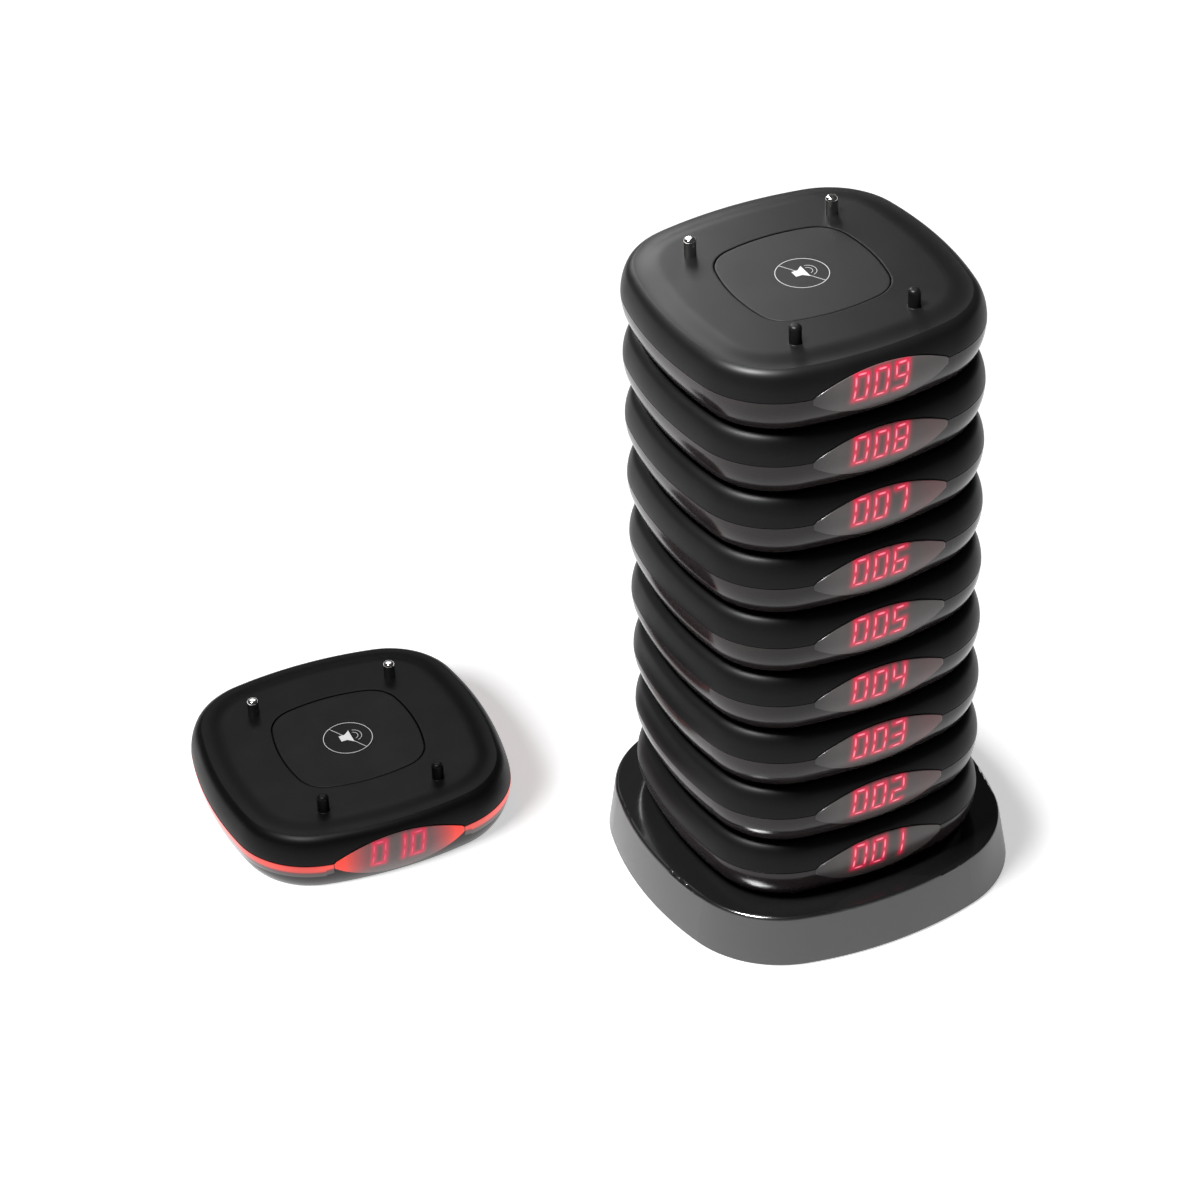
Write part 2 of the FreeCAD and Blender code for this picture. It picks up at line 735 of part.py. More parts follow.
number = "pager_%03d_" % (stacked_pagers + 1)
for name, solids in pager.items():
    export(number + name, placed(solids, loose_turn, V(loose_x, loose_y, 0)))
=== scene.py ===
import json
import math

import bpy
import numpy as np
from bpy.props import FloatProperty, FloatVectorProperty, IntProperty, PointerProperty
from mathutils import Matrix, Vector

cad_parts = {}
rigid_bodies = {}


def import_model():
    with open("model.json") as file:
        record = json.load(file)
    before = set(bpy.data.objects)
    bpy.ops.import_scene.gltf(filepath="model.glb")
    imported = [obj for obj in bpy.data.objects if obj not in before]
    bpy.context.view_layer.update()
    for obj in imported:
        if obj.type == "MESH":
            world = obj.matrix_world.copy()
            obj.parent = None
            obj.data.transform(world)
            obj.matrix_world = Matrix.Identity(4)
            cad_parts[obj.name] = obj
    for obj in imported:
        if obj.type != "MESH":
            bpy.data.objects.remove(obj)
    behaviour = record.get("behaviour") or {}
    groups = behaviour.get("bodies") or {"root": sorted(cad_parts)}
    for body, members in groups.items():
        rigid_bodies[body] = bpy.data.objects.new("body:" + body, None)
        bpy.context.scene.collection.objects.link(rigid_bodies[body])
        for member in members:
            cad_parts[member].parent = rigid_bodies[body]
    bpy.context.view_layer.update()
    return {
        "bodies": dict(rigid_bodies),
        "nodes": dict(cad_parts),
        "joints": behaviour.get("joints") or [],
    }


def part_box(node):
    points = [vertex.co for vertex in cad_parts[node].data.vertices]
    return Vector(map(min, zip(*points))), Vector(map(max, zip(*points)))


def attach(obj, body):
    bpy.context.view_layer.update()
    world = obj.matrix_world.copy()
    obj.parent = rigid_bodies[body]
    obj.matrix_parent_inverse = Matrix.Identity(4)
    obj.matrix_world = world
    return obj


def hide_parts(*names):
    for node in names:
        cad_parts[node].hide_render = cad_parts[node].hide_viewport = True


bl_info = {
    "name": "Guest pager system",
    "version": (1, 0, 0),
    "blender": (4, 5, 0),
    "location": "View3D > Sidebar > Pagers",
    "description": "Stack of guest pagers on a charging base, and one pager that is paging",
    "category": "Object",
}

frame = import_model()
MM = 0.001
SHARP = math.radians(30)  # Faces that meet at more than this angle keep a sharp edge

# ---- Where the pagers are, read from the frame ----
BODIES = sorted(name for name in frame["bodies"] if name.startswith("pager_"))
LOOSE = BODIES[-1]
SPIN = [joint for joint in frame["joints"] if joint["name"].endswith("_spin")][0]
LOOSE_TURN = math.atan2(-SPIN["axis"][0], SPIN["axis"][1])


def pager_place(body):
    """Middle of a pager's underside and its turn about its upright axis."""
    low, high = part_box(body + "_lower_shell")
    return ((low.x + high.x) / 2, (low.y + high.y) / 2, low.z), LOOSE_TURN if body == LOOSE else 0.0


def button_of(body):
    """Name of the mute button's body in a pager."""
    return body.replace("pager", "mute_button")


PLACES = {body: pager_place(body) for body in BODIES}
SHELL_LOW, SHELL_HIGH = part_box(BODIES[0] + "_lower_shell")
PAGER_HALF = (SHELL_HIGH.x - SHELL_LOW.x) / 2
PAGER_PITCH = PLACES[BODIES[1]][0][2] - PLACES[BODIES[0]][0][2]


# ---- Sizes and colours that a user may change ----
def length(name, text, millimetres):
    """Size given in millimetres."""
    return FloatProperty(name=name, description=text, default=millimetres * MM, min=-1.0,
                         precision=5, unit="LENGTH")


def turn(name, text, degrees):
    """Angle given in degrees."""
    return FloatProperty(name=name, description=text, default=math.radians(degrees),
                         subtype="ANGLE", unit="ROTATION")


def amount(name, text, value):
    """Number of 0 or more."""
    return FloatProperty(name=name, description=text, default=value, min=0.0, precision=4)


def colour(name, text, value):
    """Linear red, green and blue."""
    return FloatVectorProperty(name=name, description=text, default=value, size=3, min=0.0,
                               max=1.0, subtype="COLOR")


class PagerSizes(bpy.types.PropertyGroup):
    half: FloatProperty(name="Half width", description="From the centre to the widest line",
                        default=PAGER_HALF, unit="LENGTH", precision=5)
    height: FloatProperty(name="Height", description="From the foot ring to the flat top",
                          default=PAGER_PITCH, unit="LENGTH", precision=5)
    side_r: length("Side radius", "Radius of the slightly curved sides", 128.0)
    corner_r: length("Corner radius", "Radius of the corners", 28.0)
    girth: length("Widest line", "Height where the two shells meet", 12.0)
    seam: length("Seam", "Gap between the two shells", 0.16)
    wall: length("Wall", "Thickness of the shells", 2.0)
    corner_h: length("Inner corner", "Height of the slanted corner under the roof", 2.4)
    shoulder_in: length("Shoulder", "The rounded shoulder ends this far inside", 3.7)
    edge_h: length("Edge height", "From the shoulder's end up to the rim", 0.2)
    edge_w: length("Edge width", "Width of the short slope up to the rim", 0.43)
    rim_drop: length("Rim drop", "The rim lies this much below the flat top", 0.9)
    rim_round: length("Rim rounding", "Rounding of the rim", 0.5)
    band_w: length("Band width", "Width of the band inside the rim", 2.2)
    band_drop: length("Band drop", "The band falls this much towards the middle", 0.1)
    slope_w: length("Slope width", "Width of the slope from the band to the flat top", 4.6)
    slope_round: length("Slope rounding", "Rounding at the slope's foot and head", 15.0)
    flat_run: length("Flat run", "The rounding at the slope's head ends this far inside it", 2.2)
    edge_round: length("Edge rounding", "Rounding of the lower edge and of the button's opening", 0.2)
    shoulder_low: turn("Large arc", "Where the shoulder's large arc ends", 25.0)
    shoulder_high: turn("Small arc", "Where the shoulder's small arc ends", 65.0)
    belly_r: length("Belly radius", "Radius of the lower shell's section", 18.5)


class PinSizes(bpy.types.PropertyGroup):
    charge_x: length("Metal pin X", "From the middle to a metal pin", 24.4)
    charge_y: length("Metal pin Y", "From the middle to the metal pins", 25.8)
    guide_x: length("Guide pin X", "From the middle to a moulded guide pin", 20.0)
    guide_y: length("Guide pin Y", "From the middle to the guide pins", -32.3)
    radius: length("Radius", "Radius of a pin", 1.95)
    height: length("Height", "Height above the flat top", 6.05)
    tip: length("Tip", "Rounding of the tip", 1.2)
    collar_r: length("Collar radius", "Radius of a metal pin's collar", 2.25)
    collar_sink: length("Collar sink", "The collar ends this much below the flat top", 0.05)
    flare: length("Flare", "Rounding where a guide pin meets the flat top", 0.2)
    flare_sink: length("Flare sink", "The flare reaches this much below the flat top", 0.1)


class ButtonSizes(bpy.types.PropertyGroup):
    half: length("Half width", "From the centre to a side of the button", 23.6)
    side_r: length("Side radius", "Radius of its sides", 60.0)
    corner_r: length("Corner radius", "Radius of its corners", 11.0)
    gap: length("Gap", "Gap round the button", 0.3)
    sink: length("Sink", "Its top lies this much below the flat top", 0.1)
    edge: length("Edge rounding", "Rounding of its upper edge", 0.3)
    crown: length("Crown", "Its middle stands this much above its edge", 0.06)
    lip: length("Flange", "The flange under the roof reaches this far out", 1.6)
    lip_t: length("Flange thickness", "Thickness of the flange", 1.0)
    lip_gap: length("Flange gap", "Gap between the flange and the roof", 0.15)
    ring_r: length("Ring radius", "Middle of the printed ring's stroke", 8.2)
    stroke: length("Stroke", "Width of the ring's stroke", 0.19)
    slash: turn("Slash", "Direction of the stroke across the ring", 121.0)
    slash_w: length("Slash width", "Width of the stroke across the ring", 0.171)
    magnet_w: length("Magnet width", "Width of the loudspeaker's square back", 2.1)
    magnet_h: length("Magnet height", "Height of the loudspeaker's square back", 3.0)
    horn_w: length("Horn width", "From the back of the loudspeaker to its mouth", 4.0)
    horn_h: length("Horn height", "Height of its mouth", 6.4)
    horn_x: length("Horn X", "Its mouth lies this far right of the middle", 1.4)
    sign_lift: length("Sign lift", "The loudspeaker lies this much above the middle", 0.5)
    wave_x: length("Waves X", "Middle of the sound waves", 1.9)
    wave_in: length("Inner wave", "Radius of the inner sound wave", 1.75)
    wave_out: length("Outer wave", "Radius of the outer sound wave", 3.0)
    wave_w: length("Wave width", "Width of the sound waves", 0.152)
    print_t: length("Print thickness", "Thickness of the printed sign", 0.03)


class DisplaySizes(bpy.types.PropertyGroup):
    width: length("Window width", "Between the ends of the arch", 44.0)
    rise: length("Window rise", "From the widest line to the top of the arch", 6.3)
    notch: length("Notch", "Small step at each end of the arch", 0.8)
    low_end: length("Lower edge, ends", "Height of the window's lower edge at its ends", 10.2)
    low_mid: length("Lower edge, middle", "Height of its lower edge in the middle", 2.4)
    proud: length("Lens", "The lens stands this much proud of the shell", 0.1)
    lens_t: length("Lens thickness", "Thickness of the lens and of the paging light", 0.4)
    lens_gap: length("Lens gap", "Gap between the lens and the top shell's edge", 0.04)
    lens_edge: length("Lens edge", "The lens's rim lies this much lower than its face", 0.09)
    digit_w: length("Digit width", "Width of a digit", 4.5)
    digit_h: length("Digit height", "Height of a digit", 8.9)
    digit_pitch: length("Digit pitch", "From one digit to the next", 6.7)
    digit_x: length("Digits X", "Middle of the number, from the middle of the window", -0.9)
    digit_z: length("Digits Z", "Height of the middle of the number", 12.5)
    bar: length("Bar", "Width of a lit bar", 0.62)
    gap: length("Bar gap", "Gap between the ends of two bars", 0.95)
    bar_t: length("Bar thickness", "Thickness of a lit bar", 0.3)
    bar_proud: length("Bar lift", "The bars stand this much proud of the lens", 0.06)
    bar_tip: length("Bar tip", "Half the width that a bar keeps at its ends", 0.04)
    slant: turn("Slant", "The digits lean to the right", 8.0)
    halo: length("Halo", "Reach of the glow round a lit bar", 0.75)
    band_low: length("Band low", "Lower edge of the paging light", 9.2)
    band_high: length("Band high", "Upper edge of the paging light", 11.9)
    band_proud: length("Band lift", "The paging light stands this much proud of the shell", 0.08)
    band_edge: length("Band edge", "Its rim lies this much lower than its face", 0.07)
    band_start: length("Band start", "Gap between the window's end and the paging light", 0.1)
    band_taper: length("Band taper", "It narrows over this far beside the window", 5.0)
    first: IntProperty(name="First number", description="Number on the lowest pager", default=1,
                       min=0, max=900)


class Colours(bpy.types.PropertyGroup):
    shell: colour("Shell", "Satin black of the top shells", (0.003, 0.003, 0.0032))
    button: colour("Button", "Textured black of the mute buttons", (0.0042, 0.0042, 0.0044))
    smoked: colour("Smoked shell", "Glossy smoked plastic", (0.015, 0.0115, 0.012))
    window: colour("Window", "Unlit display window", (0.062, 0.054, 0.052))
    glow: colour("Glow", "Light round the lit bars", (0.45, 0.01, 0.045))
    bars: colour("Bars", "Brightest middle of the lit bars", (0.95, 0.34, 0.44))
    bar_edges: colour("Bar edges", "Edges and ends of the lit bars", (0.52, 0.018, 0.07))
    backlit: colour("Backlit plastic", "Plastic round the lit bars", (0.3, 0.004, 0.02))
    # Painted reflection: red put into the window's base colour at the right end of some windows
    rose: colour("Reflected red", "Red at the right end of some windows", (0.13, 0.04, 0.045))
    paging: colour("Paging light", "Light of the pager that is called", (1.0, 0.035, 0.012))
    paging_edge: colour("Paging edge", "Edges of the paging light", (1.0, 0.006, 0.012))
    # Painted light: the called pager's window is the same plastic as the others, made lighter and
    # pinker to stand in for the paging light glowing inside it
    paged: colour("Paged window", "Window of the pager that is called", (0.12, 0.085, 0.085))
    paged_dark: colour("Paged window, dark", "Its darker patches", (0.09, 0.06, 0.06))
    ember: colour("Ember", "Its ends, which the paging light shines through", (0.35, 0.02, 0.012))
    veiled: colour("Veiled bars", "Middle of its lit bars", (0.7, 0.05, 0.13))
    veiled_edges: colour("Veiled edges", "Edges and ends of its lit bars", (0.4, 0.014, 0.06))
    sign: colour("Print", "Printed sign", (0.68, 0.68, 0.68))
    metal: colour("Metal", "Bright nickel plate", (0.74, 0.73, 0.71))
    base: colour("Base", "Glossy black of the charging base", (0.004, 0.004, 0.0042))
    # Partly the side's own satin finish, partly painted sheen: its lighter grey stands in for the
    # white table reflected in the sides
    satin_side_with_painted_sheen: colour("Base side", "Satin side of the charging base", (0.03, 0.03, 0.031))
    shell_rough: amount("Shell roughness", "Roughness of the top shells", 0.4)
    button_rough: amount("Button roughness", "Roughness of the mute buttons", 0.46)
    smoked_rough: amount("Smoked roughness", "Roughness of the smoked shells", 0.16)


class StageSizes(bpy.types.PropertyGroup):
    azimuth: turn("Azimuth", "Direction of the camera round the object", -25.07)
    elevation: turn("Elevation", "Height of the camera above the horizon", 36.46)
    roll: turn("Roll", "Turn of the camera about its own axis", -2.47)
    distance: length("Distance", "From the camera to the point it looks at", 1281.0)
    look_x: length("Look at X", "Point that the camera looks at", -72.4)
    look_y: length("Look at Y", "Point that the camera looks at", -2.13)
    look_z: length("Look at Z", "Point that the camera looks at", 124.4)
    lens: amount("Lens", "Focal length in millimetres on a 36 mm sensor", 125.4)
    world: amount("Surroundings", "Brightness of the dim studio round the table", 0.05)
    table: amount("Lit table", "Light that the white table gives by itself", 0.55)
    key: amount("Table light", "Power of the light that falls on the table alone, in watts", 100.0)
    over: amount("Overhead light", "Power of the soft light above the part, in watts", 58.0)
    dim: amount("Dim light", "Power of the light above the loose pager and the signs, in watts", 16.0)
    near: amount("Near light", "Power of the small light close behind the stack, in watts", 2.2)
    low: amount("Low light", "Power of the near light on the loose pager, in watts", 0.5)
    far: amount("Far light", "Power of the large dim light far behind, in watts", 1.5)


# ---- Arcs of a rounded square ----
FRONT = 6  # Number of the side arc that faces the front


class Outline:
    """Four side arcs and four corner arcs, each tangent to the next, anticlockwise from +X.

    A side arc's centre lies half - side_r from the middle. The corner arc's centre lies on the
    diagonal where the two arcs share a tangent: its coordinate is (side_r - corner_r) times the
    sine of the side's half angle, 45 degrees - asin((side_r - half) / sqrt 2 / (side_r - corner_r)).
    """

    def __init__(self, half, side_r, corner_r):
        lean = (side_r - half) / (math.sqrt(2) * (side_r - corner_r))
        self.reach = math.pi / 4 - math.asin(lean)
        self.half, self.side_r = half, side_r
        corner = (side_r - corner_r) * math.sin(self.reach)
        quarter = np.arange(8) // 2 * (math.pi / 2)
        side = np.arange(8) % 2 == 0
        x = np.where(side, half - side_r, corner)
        y = np.where(side, 0.0, corner)
        self.x = x * np.cos(quarter) - y * np.sin(quarter)
        self.y = x * np.sin(quarter) + y * np.cos(quarter)
        self.radius = np.where(side, side_r, corner_r)
        self.start = quarter + np.where(side, -self.reach, self.reach)
        self.sweep = np.where(side, 2 * self.reach, math.pi / 2 - 2 * self.reach)

    def angle(self, columns):
        """Direction from the arc's centre: its start + the column's share of its sweep."""
        arc, share = columns
        return self.start[arc] + share * self.sweep[arc]

    def at(self, columns, grow):
        """Points moved out by grow: arc centre + (radius + grow) times the column's direction."""
        arc, angle = columns[0], self.angle(columns)
        reach = self.radius[arc] + grow
        return self.x[arc] + reach * np.cos(angle), self.y[arc] + reach * np.sin(angle)


def even_columns(per_side, per_corner):
    """Columns (arc, share of the arc) spread evenly over each arc."""
    counts = [per_side, per_corner] * 4
    arc = np.concatenate([np.full(n, k) for k, n in enumerate(counts)])
    share = np.concatenate([np.arange(n) / n for n in counts])
    return arc, share


def front_columns(pager, per_side, per_corner, stops):
    """Even columns, but the front side's arc has a column at each x in stops."""
    arc, share = even_columns(per_side, per_corner)
    lean = np.arcsin(np.asarray(stops) / pager.side_r)
    front = (lean + pager.reach) / (2 * pager.reach)
    before, after = arc < FRONT, arc > FRONT
    return (np.concatenate([arc[before], np.full(len(front), FRONT), arc[after]]),
            np.concatenate([share[before], front, share[after]]))


# ---- Section of the pager's wall ----
class Wall:
    """Offset of the pager's face from the widest line, by height.

    Above the widest line two tangent arcs rise to the crease: the first starts upright and ends
    at the low angle, the second ends at the high angle. Their radii solve the two sums for the
    whole rise and the whole run. Below it a single arc, the belly, turns under.
    """

    def __init__(self, sizes):
        s = sizes
        self.girth, self.belly_r = s.girth, s.belly_r
        self.low, self.high = s.shoulder_low, s.shoulder_high
        self.top = s.height
        self.rim = self.top - s.rim_drop
        self.crease = self.rim - s.edge_h
        rise = self.crease - self.girth
        a, b = 1 - math.cos(self.low), math.cos(self.low) - math.cos(self.high)
        c, d = math.sin(self.low), math.sin(self.high) - math.sin(self.low)
        det = a * d - b * c
        self.large = (s.shoulder_in * d - b * rise) / det
        self.small = (a * rise - c * s.shoulder_in) / det
        self.mid_in = -self.large + (self.large - self.small) * math.cos(self.low)
        self.mid_z = self.girth + (self.large - self.small) * math.sin(self.low)
        self.turn_z = self.girth + self.large * math.sin(self.low)

    def lean(self, z):
        """Angle by which the face looks up: asin of the height above the arc's centre / radius."""
        below = -np.arcsin(np.clip((self.girth - z) / self.belly_r, 0, 1))
        first = np.arcsin(np.clip((z - self.girth) / self.large, 0, 1))
        second = np.arcsin(np.clip((z - self.mid_z) / self.small, 0, 1))
        return np.where(z < self.girth, below, np.where(z < self.turn_z, first, second))

    def offset(self, z):
        """Arc centre's offset + radius times the cosine of the lean."""
        lean = self.lean(z)
        below = self.belly_r * (np.cos(lean) - 1)
        first = self.large * (np.cos(lean) - 1)
        second = self.mid_in + self.small * np.cos(lean)
        return np.where(z < self.girth, below, np.where(z < self.turn_z, first, second))

    def run(self, lean):
        """Length along the two arcs from the widest line to where the face leans so much."""
        return np.where(lean < self.low, self.large * lean,
                        self.large * self.low + self.small * (lean - self.low))

    def height(self, run):
        """Height after that length along the two arcs."""
        first = self.large * self.low
        lean = np.where(run < first, run / self.large, self.low + (run - first) / self.small)
        return np.where(lean < self.low, self.girth + self.large * np.sin(lean),
                        self.mid_z + self.small * np.sin(lean))


def arch_height(window, girth, x, grow):
    """Edge of the window's arch over x: flat outside, a short slope, then one circular arc."""
    half = window.width / 2 + grow
    ends, peak = girth + window.notch + grow, girth + window.rise + grow
    rise = peak - ends
    radius = (half ** 2 + rise ** 2) / (2 * rise)
    x = np.abs(x)
    arc = peak - radius + np.sqrt(np.maximum(radius ** 2 - np.minimum(x, half) ** 2, 0))
    slope = ends - window.notch * np.clip((x - half) / window.notch, 0, 1)
    return np.where(x < half, arc, slope)


def window_floor(window, x):
    """Lower edge of the window: one circular arc through its two ends and its lowest point."""
    half = window.width / 2 + window.notch
    drop = window.low_end - window.low_mid
    radius = (half ** 2 + drop ** 2) / (2 * drop)
    inside = np.sqrt(np.maximum(radius ** 2 - np.minimum(np.abs(x), half) ** 2, 0))
    return window.low_mid + radius - inside


def front_face(pager, wall, x, z, out=0.0):
    """Point of the front face over (x, z), moved out by out, and its outward direction.

    The plan is a circle of radius side_r + offset(z) about (0, side_r - half); the direction
    leans up by the wall's lean.
    """
    reach = pager.side_r + wall.offset(z)
    deep = np.sqrt(reach ** 2 - x ** 2)
    lean = wall.lean(z)
    normal = np.stack([x / reach * np.cos(lean), -deep / reach * np.cos(lean), np.sin(lean)], -1)
    point = np.stack([x, pager.side_r - pager.half - deep, z + 0 * x], -1)
    return point + np.asarray(out)[..., None] * normal, normal


def rounded_corner(before, corner, after, radius, steps):
    """Points of an arc of that radius that is tangent to both lines at a corner of a section."""
    before, corner, after = (np.array(p, float) for p in (before, corner, after))
    a = (before - corner) / np.linalg.norm(before - corner)
    b = (after - corner) / np.linalg.norm(after - corner)
    half = math.acos(float(np.clip(a @ b, -1, 1))) / 2
    centre = corner + (a + b) / np.linalg.norm(a + b) * radius / math.sin(half)
    start = corner + a * radius / math.tan(half) - centre
    end = corner + b * radius / math.tan(half) - centre
    share = np.linspace(0, 1, steps)[:, None]
    sweep = math.pi - 2 * half
    points = (np.sin((1 - share) * sweep) * start + np.sin(share * sweep) * end) / math.sin(sweep)
    return centre + points


# ---- Meshes from grids ----
def quads(rows, columns, wrap_rows=False, wrap_columns=False):
    """Faces of a grid whose columns run to the right and rows up, as seen from outside."""
    i = np.arange(rows if wrap_rows else rows - 1)
    j = np.arange(columns if wrap_columns else columns - 1)
    i, j = (g.ravel() for g in np.meshgrid(i, j, indexing="ij"))
    up, right = (i + 1) % rows, (j + 1) % columns
    return np.stack([i * columns + j, i * columns + right, up * columns + right,
                     up * columns + j], 1)


class Patchwork:
    """Collects grids of points and their faces, and puts them into one mesh."""

    def __init__(self):
        self.points, self.faces, self.marks, self.count = [], [], {}, 0

    def add(self, points, faces, **marks):
        """Adds points, their faces, numbered from 0, and a value per point for each mark."""
        points = np.asarray(points, float).reshape(-1, 3)
        self.points.append(points)
        self.faces += [face + self.count for face in (faces if isinstance(faces, list) else [faces])]
        for name, values in marks.items():
            self.marks.setdefault(name, []).append(
                (self.count, np.broadcast_to(values, len(points))))
        self.count += len(points)

    def closed_loop(self, points, **marks):
        """Grid that closes on itself both ways."""
        rows, columns = points.shape[:2]
        self.add(points, quads(rows, columns, True, True), **marks)

    def turned(self, points):
        """Grid whose columns close and whose first and last rows shrink to one point each."""
        rows, columns = points.shape[:2]
        body = quads(rows - 2, columns, False, True)
        inner = points[1:-1].reshape(-1, 3)
        j = np.arange(columns)
        last = (rows - 3) * columns
        low, high = len(inner), len(inner) + 1
        bottom = np.stack([np.full(columns, low), (j + 1) % columns, j], 1)
        top = np.stack([last + j, last + (j + 1) % columns, np.full(columns, high)], 1)
        self.add(np.concatenate([inner, points[0, :1], points[-1, :1]]), [body, bottom, top])

    def thick(self, face, normal, depth, wrap=False, **marks):
        """Closed slab: the outer grid, the same grid moved in by depth, and its edges."""
        rows, columns = face.shape[:2]
        n = rows * columns
        outer = quads(rows, columns, False, wrap)
        back = outer[:, ::-1] + n
        points = np.concatenate([face.reshape(-1, 3), (face - depth * normal).reshape(-1, 3)])
        grid = np.arange(n).reshape(rows, columns)
        sides = [(grid[0], False), (grid[-1], True)]
        if not wrap:
            sides += [(grid[:, 0], True), (grid[:, -1], False)]
        faces = [outer, back]
        for line, flip in sides:
            a, b = (line, np.roll(line, -1)) if wrap else (line[:-1], line[1:])
            strip = np.stack([a + n, b + n, b, a], 1)
            faces.append(strip[:, ::-1] if flip else strip)
        doubled = {name: np.tile(np.asarray(values, float).ravel(), 2)
                   for name, values in marks.items()}
        self.add(points, faces, **doubled)

    def mesh(self, name, move=lambda points: points):
        """Mesh of all grids, its points moved first."""
        mesh = bpy.data.meshes.new(name)
        mesh.from_pydata(move(np.concatenate(self.points)).tolist(), [],
                         [face for block in self.faces for face in block.tolist()])
        return mesh

    def build(self, name, body, slot, material, replaces=()):
        """Mesh object at the origin, its points turned and moved to its pager's place."""
        (x, y, z), angle = PLACES[body.replace("mute_button", "pager")]
        cos, sin = math.cos(angle), math.sin(angle)
        turn = np.array([(cos, sin, 0), (-sin, cos, 0), (0, 0, 1)])
        mesh = self.mesh(name, lambda points: points @ turn + (x, y, z))
        mesh.polygons.foreach_set("use_smooth", np.ones(len(mesh.polygons), bool))
        for mark, parts in self.marks.items():
            values = np.zeros(self.count, np.float32)
            for start, part in parts:
                values[start:start + len(part)] = part
            mesh.attributes.new(mark, "FLOAT", "POINT").data.foreach_set("value", values)
        mesh.update()
        mesh.set_sharp_from_angle(angle=SHARP)
        if mesh.validate():
            raise RuntimeError(name + " has broken faces")
        mesh.materials.append(bpy.data.materials[material])
        piece = bpy.data.objects.new(name, mesh)
        bpy.context.scene.collection.objects.link(piece)
        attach(piece, body)
        if replaces:
            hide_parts(*replaces)
        return piece


# ---- Finishes ----
class Finish:
    """A Principled surface whose nodes are added one by one. Patterns read Object coordinates."""

    def __init__(self, name, base, rough, metal=0.0, coat=0.0, coat_rough=0.05, specular=0.5):
        self.material = bpy.data.materials.new(name)
        self.material.use_nodes = True
        self.tree = self.material.node_tree
        self.surface = self.tree.nodes["Principled BSDF"]
        self.put("Base Color", base).put("Roughness", rough).put("Metallic", metal)
        self.put("Coat Weight", coat).put("Coat Roughness", coat_rough)
        self.put("Specular IOR Level", specular)
        self.base, self.rough = base, rough
        self.where = self.node("ShaderNodeTexCoord").outputs["Object"]
        self.material.diffuse_color = (*base, 1.0)

    def fill(self, socket, value):
        """Gives a socket another node's output, a colour or a number."""
        if isinstance(value, bpy.types.NodeSocket):
            self.tree.links.new(value, socket)
        else:
            socket.default_value = (*value, 1.0) if np.ndim(value) else value

    def put(self, name, value):
        """Gives the surface's socket of that name a value."""
        self.fill(self.surface.inputs[name], value)
        return self

    def node(self, kind, **values):
        """New node with its settings."""
        node = self.tree.nodes.new(kind)
        for key, value in values.items():
            setattr(node, key, value)
        return node

    def noise(self, size, detail=2.0, stretch=None):
        """Noise whose features are about size metres wide."""
        noise = self.node("ShaderNodeTexNoise")
        noise.inputs["Scale"].default_value = 1 / size
        noise.inputs["Detail"].default_value = detail
        where = self.where
        if stretch:
            mapping = self.node("ShaderNodeMapping")
            mapping.inputs["Scale"].default_value = stretch
            self.fill(mapping.inputs["Vector"], where)
            where = mapping.outputs["Vector"]
        self.fill(noise.inputs["Vector"], where)
        return noise.outputs["Fac"]

    def ramp(self, source, low, high, start=0.3, end=0.7):
        """Turns a value between start and end into one between low and high."""
        ramp = self.node("ShaderNodeMapRange")
        for key, value in (("From Min", start), ("From Max", end), ("To Min", low),
                           ("To Max", high)):
            ramp.inputs[key].default_value = value
        self.fill(ramp.inputs["Value"], source)
        return ramp.outputs["Result"]

    def mix(self, factor, first, second):
        """Mix of two colours; each is a colour or another node's output."""
        mix = self.node("ShaderNodeMix", data_type="RGBA")
        for socket, value in zip((mix.inputs[0], mix.inputs[6], mix.inputs[7]),
                                 (factor, first, second)):
            self.fill(socket, value)
        return mix.outputs[2]

    def mottled(self, size, share):
        """Lets the base colour vary by share over patches about size wide."""
        light = tuple(c * (1 + share) for c in self.base)
        dark = tuple(c * (1 - share) for c in self.base)
        return self.put("Base Color", self.mix(self.ramp(self.noise(size, 3.0), 0, 1), dark, light))

    def worn(self, size, spread, stretch=None):
        """Lets the roughness vary by spread over patches about size wide."""
        return self.put("Roughness", self.ramp(self.noise(size, 4.0, stretch),
                                               self.rough - spread, self.rough + spread))

    def grained(self, size, depth, strength=1.0):
        """Fine moulded grain: noise about size wide and depth deep, as a bump."""
        bump = self.node("ShaderNodeBump")
        bump.inputs["Strength"].default_value = strength
        bump.inputs["Distance"].default_value = depth
        self.fill(bump.inputs["Height"], self.noise(size, 3.0))
        return self.put("Normal", bump.outputs["Normal"])

    def attribute(self, name):
        """Value that a piece's mesh holds at each point."""
        return self.node("ShaderNodeAttribute", attribute_name=name).outputs["Fac"]

    def glowing(self, light, factor=1.0):
        """Emission of a colour, whose strength is a number or a value of the surface."""
        return self.put("Emission Color", light).put("Emission Strength", factor)


